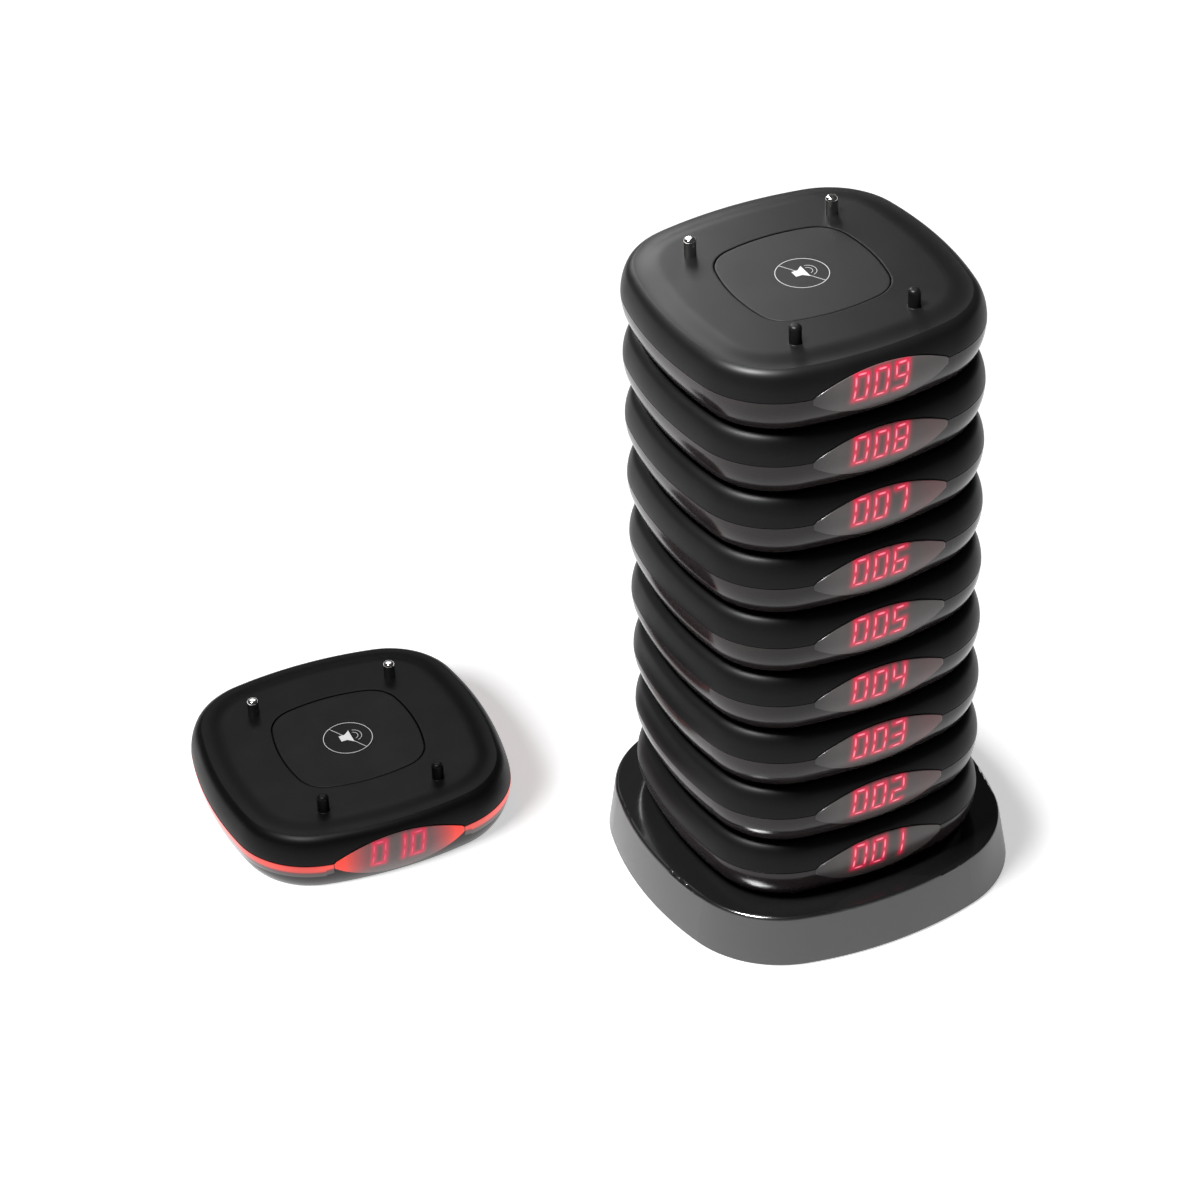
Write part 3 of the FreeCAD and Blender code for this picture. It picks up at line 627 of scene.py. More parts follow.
def finishes():
    """All materials of the object, by name."""
    c = bpy.context.scene.pager_colours
    made = {}

    def finish(name, *args, **values):
        made[name] = Finish(name, *args, **values)
        return made[name]

    finish("satin_black_shell", c.shell, c.shell_rough, specular=0.13) \
        .mottled(0.018, 0.12).worn(0.012, 0.025).grained(0.00042, 0.000012, 0.55)
    finish("grained_black_button", c.button, c.button_rough, specular=0.17) \
        .mottled(0.014, 0.12).worn(0.01, 0.03).grained(0.00065, 0.00003, 0.7)
    finish("smoked_plastic", c.smoked, c.smoked_rough, specular=0.26) \
        .mottled(0.03, 0.25).worn(0.02, 0.03).grained(0.004, 0.00001, 0.3)
    finish("printed_white", c.sign, 0.5).mottled(0.0006, 0.04).grained(0.0003, 0.000008, 0.4)
    finish("nickel_plate", c.metal, 0.12, metal=1.0).worn(0.0012, 0.05).mottled(0.003, 0.06)
    finish("contact_brass", (0.56, 0.36, 0.12), 0.3, metal=1.0).worn(0.002, 0.08)
    finish("green_board", (0.012, 0.11, 0.035), 0.4).mottled(0.004, 0.3).grained(0.002, 0.00004)
    finish("dark_red_housing", (0.16, 0.006, 0.01), 0.25).mottled(0.005, 0.15).worn(0.003, 0.05)
    finish("clear_guide", (0.72, 0.74, 0.76), 0.12, coat=0.3).mottled(0.01, 0.05)
    finish("cell_foil", (0.55, 0.55, 0.57), 0.35, metal=1.0).worn(0.004, 0.1).grained(0.003, 0.0001)
    finish("motor_steel", (0.5, 0.5, 0.5), 0.3, metal=1.0) \
        .worn(0.0006, 0.08, (1.0, 0.1, 1.0)).mottled(0.003, 0.1)
    finish("inner_black", (0.02, 0.02, 0.021), 0.5).mottled(0.004, 0.2).grained(0.0006, 0.00003)
    finish("screw_steel", (0.42, 0.42, 0.43), 0.32, metal=1.0).worn(0.0008, 0.08)
    finish("foot_rubber", (0.03, 0.03, 0.03), 0.8).mottled(0.003, 0.2).grained(0.0005, 0.00005)

    def lens(name, light, dark):
        """Window, its glow, and its plastic's colour with patches some way from light to dark."""
        made_lens = finish(name, c.window, 0.34, coat=0.1, coat_rough=0.3).worn(0.01, 0.02)
        patches = made_lens.ramp(made_lens.noise(0.006, 3.0), 0.0, 0.35)
        return made_lens, made_lens.attribute("glow"), made_lens.mix(patches, light, dark)

    window, glow, plastic = lens("display_window", c.window, tuple(v * 0.72 for v in c.window))
    # Painted reflection: red mixed into the window's colour towards its right end, more on some pagers
    # than on others
    plastic = window.mix(window.attribute("rose"), plastic, c.rose)
    plastic = window.mix(window.attribute("fade"), plastic, c.smoked)
    window.put("Base Color", window.mix(glow, plastic, c.backlit))
    window.glowing(c.glow, window.ramp(glow, 0, 0.85, 0, 1))

    # Painted light: the lighter, pinker base colours stand in for the paging light inside this window
    window, glow, plastic = lens("paged_window", c.paged, c.paged_dark)
    ember = window.attribute("ember")
    plastic = window.mix(ember, plastic, c.ember)
    window.put("Base Color", window.mix(glow, plastic, c.backlit))
    window.glowing(window.mix(ember, c.glow, c.paging),
                   window.ramp(window.attribute("light"), 0, 0.9, 0, 1))

    bars = finish("lit_bars", (0.5, 0.05, 0.08), 0.3)
    bars.glowing(bars.mix(bars.attribute("core"), c.bar_edges, c.bars))
    bars = finish("veiled_bars", (0.3, 0.03, 0.05), 0.3)
    bars.glowing(bars.mix(bars.attribute("core"), c.veiled_edges, c.veiled))

    paging = finish("paging_light", c.smoked, 0.16, coat=0.5, coat_rough=0.06).mottled(0.03, 0.2)
    paging.glowing(paging.mix(paging.attribute("hot"), c.paging_edge, c.paging),
                   paging.attribute("light"))

    cover = finish("gloss_black_base", c.base, 0.2, coat=0.35, coat_rough=0.04, specular=0.7)
    facing = cover.node("ShaderNodeSeparateXYZ")
    cover.fill(facing.inputs[0], cover.node("ShaderNodeNewGeometry").outputs["Normal"])
    # Sideways faces get the lighter side colour: the satin finish, with painted sheen standing in for
    # the table's reflection
    upright = cover.ramp(facing.outputs["Z"], 1, 0, 0.3, 0.75)
    cloud = cover.ramp(cover.noise(0.02, 3.0), 0, 0.25)
    top = cover.mix(cloud, c.base, tuple(v * 1.6 for v in c.base))
    cover.put("Base Color", cover.mix(upright, top, c.satin_side_with_painted_sheen))
    cover.put("Roughness", cover.ramp(upright, 0.14, 0.42, 0, 1)).grained(0.0005, 0.00001, 0.35)
    return {name: item.material for name, item in made.items()}


def settings():
    """Sizes of the pager, its pins, its button and its display."""
    scene = bpy.context.scene
    return (scene.pager_sizes, scene.pager_pins, scene.pager_button, scene.pager_display)


def pager_outline():
    """Outline of a pager at its widest line."""
    sizes = settings()[0]
    return Outline(sizes.half, sizes.side_r, sizes.corner_r)


# ---- Operators: one for each piece or group of like pieces ----
class PAGER_OT_finishes(bpy.types.Operator):
    """Make the procedural materials and give the frame's own nodes theirs"""
    bl_idname = "pager.finishes"
    bl_label = "Finishes"

    NODES = (("lower_shell", "smoked_plastic"), ("top_shell", "satin_black_shell"),
             ("mute_button", "grained_black_button"), ("base_charge_pins", "nickel_plate"),
             ("charge_pins", "nickel_plate"), ("socket_contacts", "contact_brass"),
             ("circuit_board", "green_board"), ("electronics", "green_board"),
             ("display_module", "dark_red_housing"), ("indicator_leds", "dark_red_housing"),
             ("light_guide", "clear_guide"), ("battery_cell", "cell_foil"),
             ("vibration_motor", "motor_steel"), ("motor_weight", "motor_steel"),
             ("buzzer", "inner_black"), ("button_switch", "inner_black"),
             ("screws", "screw_steel"), ("base_cover", "gloss_black_base"),
             ("base_bottom_plate", "inner_black"), ("base_feet", "foot_rubber"),
             ("base_power_inlet", "inner_black"))

    def execute(self, context):
        made = finishes()
        for name, node in frame["nodes"].items():
            chosen = [finish for ending, finish in self.NODES if name.endswith(ending)]
            if not chosen:
                raise RuntimeError("no finish for " + name)
            if not node.data.materials:
                node.data.materials.append(None)
            for index in range(len(node.data.materials)):
                node.data.materials[index] = made[chosen[0]]
        return {"FINISHED"}


class PAGER_OT_top_shells(bpy.types.Operator):
    """Make the top shells: arched at the window, with shoulder, rim, band, slope and opening"""
    bl_idname = "pager.top_shells"
    bl_label = "Top shells"

    def stops(self, pager, window, grow):
        """X of the columns in front: a few beside the window, more over it, most near its ends.

        Over the window x goes mostly evenly, with a share of a sine that crowds it at the ends.
        """
        half = window.width / 2 + grow
        foot = half + window.notch
        end = pager.side_r * math.sin(pager.reach)
        outside = np.linspace(-end, -foot, 14, endpoint=False)
        near = np.array([-foot, -(foot + half) / 2])
        share = np.linspace(-1, 1, 61)
        inside = half * (0.35 * np.sin(share * math.pi / 2) + 0.65 * share)
        return np.concatenate([outside, near, inside, -near[::-1], -outside[:0:-1]])

    def lower_edge(self, pager, wall, window, columns, grow):
        """Height of the lower edge in each column: the arch in front, level elsewhere.

        The face draws in above the widest line, so each column's x is worked out again from the
        edge's height, four times in all.
        """
        sway = pager.side_r * np.sin(pager.angle(columns) - 1.5 * math.pi)
        x = sway
        for _ in range(4):
            arch = arch_height(window, wall.girth, x, grow)
            edge = np.where(columns[0] == FRONT, arch, wall.girth + grow)
            x = sway * (1 + wall.offset(edge) / pager.side_r)
        return edge

    def surface(self):
        """Closed grid. Rows run from the lower edge up the shoulder, over rim, band and slope, across
        the flat top to the button's opening, down it, back under the roof and down inside."""
        sizes, _, button, window = settings()
        pager, wall = pager_outline(), Wall(sizes)
        opening = Outline(button.half, button.side_r, button.corner_r)
        grow, e = sizes.seam / 2, sizes.edge_round
        columns = front_columns(pager, 26, 18, self.stops(pager, window, grow))
        edge = self.lower_edge(pager, wall, window, columns, grow)
        rows = []

        def row(offset, z, outline=pager):
            x, y = outline.at(columns, offset)
            rows.append(np.stack(np.broadcast_arrays(x, y, z), -1))

        face = wall.offset(edge)
        row(face - e, edge)
        for angle in np.radians((-65, -40, -15)):
            row(face - e * (1 - math.cos(angle)), edge + e * (1 + math.sin(angle)))
        start, end = wall.run(wall.lean(edge + e)), wall.run(wall.high)
        for share in np.append(np.linspace(0, 0.97, 20), 0.992):
            z = wall.height(start + share * (end - start))
            row(wall.offset(z), z)
        crease = (-sizes.shoulder_in, wall.crease)
        rim = (crease[0] - sizes.edge_w, wall.rim)
        trough = (rim[0] - sizes.band_w, wall.rim - sizes.band_drop)
        flat = (trough[0] - sizes.slope_w, wall.top)
        inward = (flat[0] - sizes.flat_run, wall.top)
        row(*crease)
        for before, corner, after, radius in ((crease, rim, trough, sizes.rim_round),
                                              (rim, trough, flat, sizes.slope_round),
                                              (trough, flat, inward, sizes.slope_round)):
            for point in rounded_corner(before, corner, after, radius, 6):
                row(*point)
        row(*inward)
        outer, hole = rows[-1], button.gap + e
        x, y = opening.at(columns, hole)
        inner = np.stack(np.broadcast_arrays(x, y, wall.top), -1)
        for share in (0.25, 0.5, 0.75, 0.97, 1.0):
            rows.append(outer + share * (inner - outer))
        for angle in np.radians((30, 60, 90)):
            row(hole - e * math.sin(angle), wall.top - e * (1 - math.cos(angle)), opening)
        roof = wall.top - sizes.wall
        row(button.gap, roof + e, opening)
        row(button.gap, roof, opening)
        row(crease[0] - sizes.wall, roof)
        for share in (0.8, 0.6, 0.4, 0.2, 0.0):
            z = edge + share * np.maximum(roof - sizes.corner_h - edge, 0)
            row(wall.offset(z) - sizes.wall, z)
        return np.stack(rows)

    def execute(self, context):
        shell = Patchwork()
        shell.closed_loop(self.surface())
        for body in BODIES:
            shell.build(body + "_top_cover", body, "pager_shell", "satin_black_shell",
                        [body + "_top_shell"])
        return {"FINISHED"}


class PAGER_OT_pins(bpy.types.Operator):
    """Make the two plated charging pins and the two moulded guide pins of each pager"""
    bl_idname = "pager.pins"
    bl_label = "Pins"

    def pair(self, profile, x, y, steps=40):
        """Two pins at -x and x: a profile of (radius, height) points carried round each axis."""
        pins = Patchwork()
        angle = np.arange(steps) / steps * 2 * math.pi
        radius, z = np.array(profile).T[:, :, None]
        for middle in (-x, x):
            pins.turned(np.stack([middle + radius * np.cos(angle), y + radius * np.sin(angle),
                                  z + 0 * angle], -1))
        return pins

    def execute(self, context):
        sizes, pins, _, _ = settings()
        top, tip, flare = sizes.height, pins.tip, pins.flare
        under, end, flat = top - sizes.wall, top + pins.height, pins.radius - tip
        dome = [(flat + tip * math.cos(a), end - tip + tip * math.sin(a))
                for a in np.radians(np.arange(0, 91, 10))]
        cap = dome + [(flat / 2, end), (0, end)]
        root = [(pins.radius + flare * (1 - math.sin(a)), top + flare * (1 - math.cos(a)))
                for a in np.radians((0, 22, 45, 67, 90))]
        foot, ring, seat = pins.radius + flare, pins.collar_r, top - pins.collar_sink
        guide = [(0, under), (foot, under), (foot, top - pins.flare_sink)] + root + cap
        metal = [(0, under), (ring, under), (ring, seat), (pins.radius, seat)] + cap
        moulded = self.pair(guide, pins.guide_x, pins.guide_y)
        plated = self.pair(metal, pins.charge_x, pins.charge_y)
        for body in BODIES:
            shell, own_node = body + "_top_shell", body + "_charge_pins"
            moulded.build(body + "_guide_pins", body, "pager_shell", "satin_black_shell", [shell])
            plated.build(body + "_plated_pins", body, "plated_pin", "nickel_plate",
                         [own_node if own_node in frame["nodes"] else shell])
        return {"FINISHED"}


class PAGER_OT_buttons(bpy.types.Operator):
    """Make the mute buttons, each with a slightly crowned top and a flange under the roof"""
    bl_idname = "pager.buttons"
    bl_label = "Mute buttons"

    def execute(self, context):
        sizes, _, button, _ = settings()
        outline = Outline(button.half, button.side_r, button.corner_r)
        columns = even_columns(14, 10)
        top, e = sizes.height - button.sink, button.edge
        lip_top = sizes.height - sizes.wall - button.lip_gap
        rows = []

        def row(grow, z, scale=1.0):
            """Outline moved out by grow, then drawn towards the middle by scale."""
            x, y = outline.at(columns, grow)
            rows.append(np.stack(np.broadcast_arrays(x * scale, y * scale, z), -1))

        for scale in (0.0, 0.5, 1.0):
            row(button.lip, lip_top - button.lip_t, scale)
        row(button.lip, lip_top)
        row(0, lip_top)
        row(0, top - e)
        for angle in np.radians((22, 45, 67, 90)):
            row(-e * (1 - math.cos(angle)), top - e * (1 - math.sin(angle)))
        for scale in (0.985, 0.93, 0.8, 0.65, 0.5, 0.35, 0.2, 0.08, 0.0):
            row(-e, top + button.crown * (1 - scale ** 2), scale)
        cap = Patchwork()
        cap.turned(np.stack(rows))
        for body in BODIES:
            cap.build(button_of(body) + "_cap", button_of(body), "button_plastic",
                      "grained_black_button", [body + "_mute_button"])
        return {"FINISHED"}


class PAGER_OT_signs(bpy.types.Operator):
    """Print the crossed-out loudspeaker sign on each mute button"""
    bl_idname = "pager.signs"
    bl_label = "Mute signs"

    def stroke(self, sign, x, y, width, z, depth, wrap=False):
        """Flat stroke along a line of points: each point moved half a width to either side."""
        if wrap:
            along = np.stack([np.roll(x, -1) - np.roll(x, 1), np.roll(y, -1) - np.roll(y, 1)], -1)
        else:
            along = np.stack([np.gradient(x), np.gradient(y)], -1)
        along /= np.linalg.norm(along, axis=-1, keepdims=True)
        aside = width / 2 * np.stack([-along[:, 1], along[:, 0]], -1)
        line = np.stack([x, y], -1)
        self.plate(sign, np.stack([line - aside, line + aside]), z, depth, wrap)

    def plate(self, sign, flat, z, depth, wrap=False):
        """Flat piece: a grid of (x, y) points whose upper face lies at z."""
        points = np.concatenate([flat, np.full(flat.shape[:2] + (1,), z)], -1)
        sign.thick(points, np.array([0.0, 0.0, 1.0]), depth, wrap)

    def execute(self, context):
        sizes, _, button, _ = settings()
        top = sizes.height - button.sink + button.crown + button.print_t
        depth, layer = 4 * button.print_t, button.print_t / 10
        sign = Patchwork()
        reach, turn = button.ring_r, np.linspace(0, 2 * math.pi, 96, endpoint=False)
        self.stroke(sign, reach * np.cos(turn), reach * np.sin(turn), button.stroke, top, depth, True)
        run = np.linspace(-reach, reach, 24)
        self.stroke(sign, run * math.cos(button.slash), run * math.sin(button.slash),
                    button.slash_w, top + layer, depth)
        mouth, back = button.horn_x, button.horn_x - button.horn_w
        lower = np.array([(back, -button.magnet_h / 2), (back + button.magnet_w, -button.magnet_h / 2),
                          (mouth, -button.horn_h / 2)])
        horn = np.stack([lower, lower * (1, -1)]) + (0, button.sign_lift)
        self.plate(sign, horn, top + 2 * layer, depth)
        arc = np.radians(np.linspace(-73, 78, 40))
        for radius in (button.wave_in, button.wave_out):
            self.stroke(sign, button.wave_x + radius * np.cos(arc),
                        button.sign_lift + radius * np.sin(arc), button.wave_w, top, depth)
        for body in BODIES:
            sign.build(button_of(body) + "_sign", button_of(body), "print_white", "printed_white")
        return {"FINISHED"}


# Bars of a seven-bar digit: ends in half widths and half heights of the digit's centre line
BARS = {"a": (-1, 1, 1, 1), "b": (1, 1, 1, 0), "c": (1, 0, 1, -1), "d": (-1, -1, 1, -1),
        "e": (-1, 0, -1, -1), "f": (-1, 1, -1, 0), "g": (-1, 0, 1, 0)}
LIT = {"0": "abcdef", "1": "bc", "2": "abged", "3": "abgcd", "4": "fgbc", "5": "afgcd",
       "6": "afgecd", "7": "abc", "8": "abcdefg", "9": "abcdfg"}


def lit_bars(window, number):
    """Centre lines (x, z, x, z) of the lit bars of a number, slanted to the right."""
    half_w = (window.digit_w - window.bar) / 2
    half_h = (window.digit_h - window.bar) / 2
    lines = []
    for index, character in enumerate("%03d" % number):
        middle = window.digit_x + (index - 1) * window.digit_pitch
        for bar in LIT[character]:
            x0, z0, x1, z1 = BARS[bar]
            lines.append((middle + x0 * half_w, z0 * half_h, middle + x1 * half_w, z1 * half_h))
    lines = np.array(lines)
    lean = math.tan(window.slant)
    for column in (0, 2):
        lines[:, column] += lean * lines[:, column + 1]
        lines[:, column + 1] += window.digit_z
    return lines


def distance_to(lines, x, z):
    """Distance of each point to the nearest centre line, clamped to the line's two ends."""
    a, b = lines[:, :2], lines[:, 2:]
    along = b - a
    p = np.stack([x, z], -1)[..., None, :]
    share = np.clip(((p - a) * along).sum(-1) / (along ** 2).sum(-1), 0, 1)
    return np.linalg.norm(p - (a + share[..., None] * along), axis=-1).min(-1)


def rising(value, start, width, power=1.0):
    """0 up to start, 1 from start + width on, and a power of the way between them."""
    return np.clip((value - start) / width, 0, 1) ** power


class PAGER_OT_windows(bpy.types.Operator):
    """Make the almond-shaped display windows, with the glow round the lit bars"""
    bl_idname = "pager.windows"
    bl_label = "Display windows"

    PAINTED_RED_REFLECTION = (0.0, 0.5, 0.9, 0.5)  # Share of reflected red at a window's right end, by turns
    EMBER = (2 * MM, 6 * MM)  # Height where the ends start to glow, and rise to their full glow
    EMBER_LEAST = 0.3  # Share of their glow below that height

    def execute(self, context):
        sizes, _, _, window = settings()
        pager, wall = pager_outline(), Wall(sizes)
        shrink = -sizes.seam / 2 - window.lens_gap
        half = window.width / 2 + shrink
        end = half + window.notch
        stops = np.union1d(np.linspace(-end, end, 121), (-half, half))
        low = window_floor(window, stops)
        high = arch_height(window, sizes.girth, stops, shrink)
        share = np.concatenate([[0, 0.012], np.linspace(0.03, 0.97, 38), [0.988, 1]])[:, None]
        x, z = np.broadcast_arrays(stops, low + share * (high - low))
        sunk = np.full_like(z, window.lens_edge)
        sunk[1:-1, 1:-1] = 0
        face, normal = front_face(pager, wall, x, z, window.proud - sunk)
        across = x / end
        for index, body in enumerate(BODIES):
            lines = lit_bars(window, window.first + index)
            away = np.maximum(distance_to(lines, x, z) - 0.4 * window.bar, 0)
            glow = np.exp(-(away / window.halo) ** 1.3)
            # The painted red reflection grows towards the window's right end
            marks = {"glow": glow, "fade": rising(-across, 0.62, 0.36, 1.3),
                     "rose": rising(across, 0.35, 0.4) * self.PAINTED_RED_REFLECTION[index % len(self.PAINTED_RED_REFLECTION)]}
            if body == LOOSE:
                upper = np.maximum(rising(z, *self.EMBER), self.EMBER_LEAST)
                marks["ember"] = rising(np.abs(across), 0.36, 0.5, 1.4) * upper
                marks["light"] = np.maximum(glow, marks["ember"] * 0.75)
            lens = Patchwork()
            lens.thick(face, normal, window.lens_t, **marks)
            lens.build(body + "_window", body, "smoked_shell",
                       "paged_window" if body == LOOSE else "display_window")
        return {"FINISHED"}


class PAGER_OT_digits(bpy.types.Operator):
    """Make the lit bars of each pager's number"""
    bl_idname = "pager.digits"
    bl_label = "Digits"

    def bar(self, window, start, end):
        """Grid of (x, z) points over a bar with pointed ends, and how bright each is.

        The bar is brightest along its middle line and dims towards both ends.
        """
        half = window.bar / 2
        size = np.linalg.norm(end - start)
        along = (end - start) / size
        run = np.concatenate([[0], np.linspace(half, size - half, 11), [size]])
        run = window.gap / 2 + run / size * (size - window.gap)
        wide = np.minimum(half, np.minimum(run, size - run) - window.gap / 2 + window.bar_tip)
        across = np.array([-1, -0.45, 0, 0.45, 1])[:, None] * wide
        middle = rising(np.sin(math.pi * run / size), 0.5, 5 / 12)
        return (start[0] + run * along[0] - across * along[1],
                start[1] + run * along[1] + across * along[0],
                (1 - np.abs(across / half)) * middle)

    def execute(self, context):
        sizes, _, _, window = settings()
        pager, wall = pager_outline(), Wall(sizes)
        for index, body in enumerate(BODIES):
            number = Patchwork()
            for line in lit_bars(window, window.first + index):
                x, z, core = self.bar(window, line[:2], line[2:])
                face, normal = front_face(pager, wall, x, z, window.proud + window.bar_proud)
                number.thick(face, normal, window.bar_t, core=core)
            number.build(body + "_digits", body, "digit_glow",
                         "veiled_bars" if body == LOOSE else "lit_bars")
        return {"FINISHED"}


class PAGER_OT_paging_light(bpy.types.Operator):
    """Make the red light that shines through the smoked shell of the pager that is called"""
    bl_idname = "pager.paging_light"
    bl_label = "Paging light"

    # Rows of the band: how far above its lower edge or, further up, its upper edge, in
    # millimetres, and the brightness there
    LOWER = ((-2.2, 0.0), (-1.2, 0.02), (-0.5, 0.07), (-0.1, 0.25), (0.25, 0.8))
    MIDDLE = 1.0
    UPPER = ((-0.3, 0.85), (-0.08, 0.7), (0.0, 0.35))

    def columns(self, pager, first):
        """Columns from x = first in front, round the pager, to x = -first, and the first ones' x."""
        side = pager.side_r * math.sin(pager.reach)
        right = np.linspace(first, side, 16, endpoint=False)
        front = (np.arcsin(right / pager.side_r) + pager.reach) / (2 * pager.reach)
        arc, share = even_columns(30, 20)
        order = [(np.full(len(front), FRONT), front)]
        order += [(arc[arc == k], share[arc == k]) for k in (7, 0, 1, 2, 3, 4, 5)]
        order.append((np.full(len(front) + 1, FRONT), np.append(0.0, 1 - front[::-1])))
        return tuple(np.concatenate(parts) for parts in zip(*order)), right

    def execute(self, context):
        sizes, _, _, window = settings()
        pager, wall = pager_outline(), Wall(sizes)
        end = window.width / 2 + window.notch
        columns, right = self.columns(pager, end + window.band_start)
        taper = 1 - rising(right, end, window.band_taper)
        close = np.zeros(len(columns[0]))
        close[:len(right)], close[-len(right):] = taper, taper[::-1]
        high = np.full(len(close), window.band_high)
        low = window.band_low + close * (window.low_end - window.band_low)
        z = np.stack([low + above * MM for above, _ in self.LOWER] + [(low + high) / 2]
                     + [high + above * MM for above, _ in self.UPPER])
        light = np.array([bright for _, bright in self.LOWER] + [self.MIDDLE]
                         + [bright for _, bright in self.UPPER])[:, None]
        lean, angle = wall.lean(z), pager.angle(columns)
        out = np.full((len(z), 1), window.band_proud)
        out[[0, -1]] -= window.band_edge
        x, y = pager.at(columns, wall.offset(z) + out * np.cos(lean))
        face = np.stack([x, y, z + out * np.sin(lean)], -1)
        normal = np.stack([np.cos(angle) * np.cos(lean), np.sin(angle) * np.cos(lean),
                           np.sin(lean)], -1)
        ripple = 0.9 + 0.1 * np.cos(angle * 8 + 0.6)
        strip = Patchwork()
        strip.thick(face, normal, window.lens_t, light=light * ripple,
                    hot=np.minimum(light * 1.1, 1) + 0 * ripple)
        strip.build(LOOSE + "_light_band", LOOSE, "smoked_shell", "paging_light")
        return {"FINISHED"}


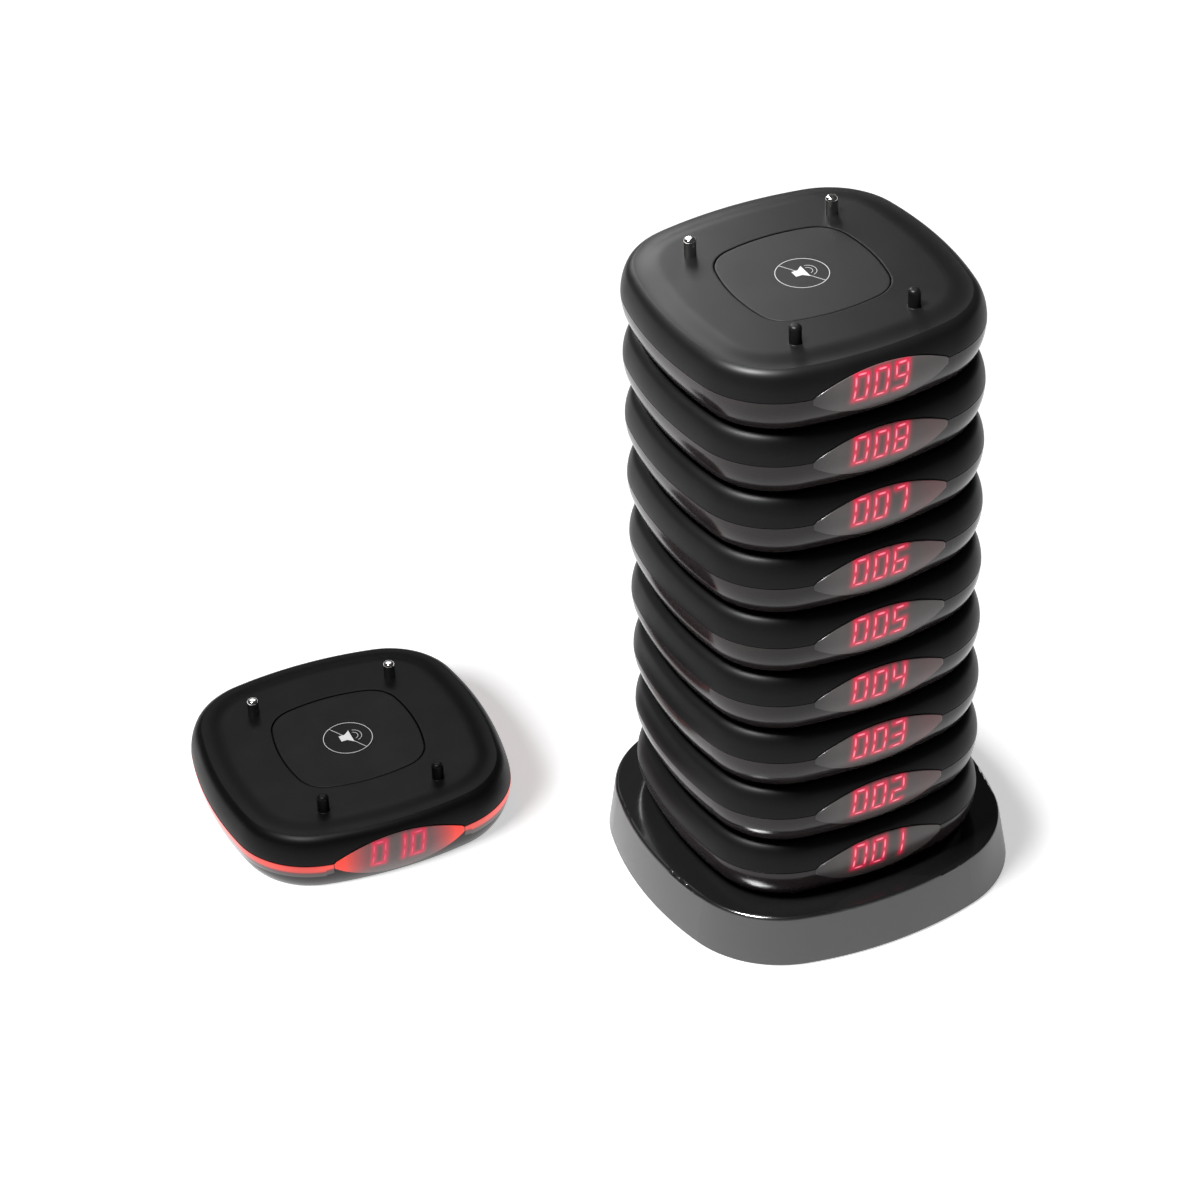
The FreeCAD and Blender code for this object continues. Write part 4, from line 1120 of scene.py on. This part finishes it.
class PAGER_OT_stage(bpy.types.Operator):
    """Set up the pale floor, the soft light and the camera"""
    bl_idname = "pager.stage"
    bl_label = "Stage"

    def pieces(self, name, starts, state):
        """Collection of the pieces whose names start so, which a lamp lights or leaves out."""
        group = bpy.data.collections.new(name)
        for piece in [o for o in bpy.data.objects if o.name.startswith(starts)]:
            group.objects.link(piece)
        for entry in group.collection_objects:
            entry.light_linking.link_state = state
        return group

    def lamp(self, name, place, target, size, power, lit, unlit):
        """Soft light for the pieces named in lit alone or, if lit is empty, for all but unlit."""
        data = bpy.data.lights.new(name, "AREA")
        data.shape, data.size, data.size_y = "RECTANGLE", *size
        data.energy = power
        lamp = bpy.data.objects.new(name, data)
        bpy.context.scene.collection.objects.link(lamp)
        lamp.location = place
        lamp.visible_camera = False
        lamp.rotation_mode = "QUATERNION"
        lamp.rotation_quaternion = (Vector(target) - Vector(place)).to_track_quat("-Z", "Y")
        linking = lamp.light_linking
        if lit:
            linking.receiver_collection = self.pieces(name + "_lit", lit, "INCLUDE")
        else:
            linking.receiver_collection = self.pieces(name + "_unlit", unlit, "EXCLUDE")
        if "floor" in lit:
            linking.blocker_collection = self.pieces(name + "_shade", ("base_", LOOSE), "INCLUDE")

    def floor(self, scene, s):
        """Pale table that gives a little light by itself."""
        reach, depth = 3.0, 0.02
        edge = np.linspace(-reach, reach, 7)
        x, y = np.meshgrid(edge, edge)
        table = Patchwork()
        table.thick(np.stack([x, y, 0 * x], -1), np.array([0.0, 0.0, 1.0]), depth)
        paper = Finish("pale_floor", (0.93, 0.93, 0.93), 0.85, specular=0.2)
        paper.glowing((1.0, 1.0, 1.0), s.table)
        mesh = table.mesh("floor")
        mesh.materials.append(paper.material)
        ground = bpy.data.objects.new("floor", mesh)
        scene.collection.objects.link(ground)

    def surroundings(self, scene, s):
        """White world that the camera sees bright and that lights the object dimly."""
        world = bpy.data.worlds.new("pale_surroundings")
        world.use_nodes = True
        tree = world.node_tree
        dim, seen = tree.nodes["Background"], tree.nodes.new("ShaderNodeBackground")
        for surface, strength in ((dim, s.world), (seen, 1.0)):
            surface.inputs["Color"].default_value = (1, 1, 1, 1)
            surface.inputs["Strength"].default_value = strength
        mix = tree.nodes.new("ShaderNodeMixShader")
        rays = tree.nodes.new("ShaderNodeLightPath")
        for source, socket in ((rays.outputs["Is Camera Ray"], mix.inputs[0]),
                               (dim.outputs[0], mix.inputs[1]), (seen.outputs[0], mix.inputs[2]),
                               (mix.outputs[0], tree.nodes["World Output"].inputs["Surface"])):
            tree.links.new(source, socket)
        scene.world = world
        scene.view_settings.view_transform = "Standard"
        scene.view_settings.look = "None"

    def lamps(self, s):
        """Each lamp's place, the point it shines at, its size and power, and what it lights."""
        floor_only, with_base = ("floor",), ("floor", "base_")
        loose = (LOOSE, button_of(LOOSE))
        dimmed = loose + tuple(button_of(body) + "_sign" for body in BODIES)
        over, near, small = (-0.44, -0.02, 1.25), (0.04, 0.46, 0.49), (0.3, 0.3)
        for name, place, target, size, power, lit, unlit in (
                ("table_light", (-2.2, -0.5, 1.8), (0, 0, 0), (1.6, 1.2), s.key, floor_only, ()),
                ("overhead_light", over, (0, 0, 0.12), small, s.over, (), floor_only + dimmed),
                ("dim_light", over, (0, 0, 0.12), small, s.dim, dimmed, ()),
                ("near_light", near, (-0.02, 0, 0.22), small, s.near, (), with_base + loose),
                ("low_light", near, (-0.02, 0, 0.22), small, s.low, loose, ()),
                ("far_light", (-0.1, 1.4, 1.3), (-0.1, 0, 0.1), (1.1, 0.9), s.far, (), floor_only)):
            self.lamp(name, place, target, size, power, lit, unlit)

    def camera(self, scene, s):
        """Camera that looks at a point from a direction and a distance, rolled about its axis."""
        cos, sin = math.cos(s.elevation), math.sin(s.elevation)
        back = Vector((math.sin(s.azimuth) * cos, -math.cos(s.azimuth) * cos, sin))
        right = (-back).cross(Vector((0, 0, 1))).normalized()
        up = right.cross(-back)
        rolled = right * math.cos(s.roll) + up * math.sin(s.roll)
        turned = Matrix((rolled, rolled.cross(-back), back)).transposed().to_4x4()
        place = Vector((s.look_x, s.look_y, s.look_z)) + back * s.distance
        camera = bpy.data.objects.new("camera", bpy.data.cameras.new("camera"))
        scene.collection.objects.link(camera)
        camera.data.sensor_width = 36.0
        camera.data.lens = s.lens
        camera.data.clip_start, camera.data.clip_end = 0.01, 100.0
        camera.matrix_world = Matrix.Translation(place) @ turned
        scene.camera = camera

    def execute(self, context):
        scene, s = context.scene, context.scene.pager_stage
        self.floor(scene, s)
        self.surroundings(scene, s)
        self.lamps(s)
        self.camera(scene, s)
        return {"FINISHED"}


class PAGER_PT_panel(bpy.types.Panel):
    """Lists the pager system's pieces"""
    bl_idname = "PAGER_PT_panel"
    bl_label = "Guest pager system"
    bl_space_type = "VIEW_3D"
    bl_region_type = "UI"
    bl_category = "Pagers"

    def draw(self, context):
        for operator in OPERATORS:
            self.layout.operator(operator.bl_idname)
        for name in GROUPS:
            box = self.layout.box()
            box.label(text=name.replace("_", " ").capitalize())
            group = getattr(context.scene, name)
            for key in group.__annotations__:
                box.prop(group, key)


GROUPS = {"pager_sizes": PagerSizes, "pager_pins": PinSizes, "pager_button": ButtonSizes,
          "pager_display": DisplaySizes, "pager_colours": Colours, "pager_stage": StageSizes}
OPERATORS = (PAGER_OT_finishes, PAGER_OT_top_shells, PAGER_OT_pins, PAGER_OT_buttons,
             PAGER_OT_signs, PAGER_OT_windows, PAGER_OT_digits, PAGER_OT_paging_light,
             PAGER_OT_stage)


def register():
    for item in (*GROUPS.values(), *OPERATORS, PAGER_PT_panel):
        bpy.utils.register_class(item)
    for name, group in GROUPS.items():
        setattr(bpy.types.Scene, name, PointerProperty(type=group))


def unregister():
    for name in GROUPS:
        delattr(bpy.types.Scene, name)
    for item in reversed((*GROUPS.values(), *OPERATORS, PAGER_PT_panel)):
        bpy.utils.unregister_class(item)


def main():
    register()
    bpy.ops.pager.finishes()
    bpy.ops.pager.top_shells()
    bpy.ops.pager.pins()
    bpy.ops.pager.buttons()
    bpy.ops.pager.signs()
    bpy.ops.pager.windows()
    bpy.ops.pager.digits()
    bpy.ops.pager.paging_light()
    bpy.ops.pager.stage()


if __name__ == "__main__":
    main()
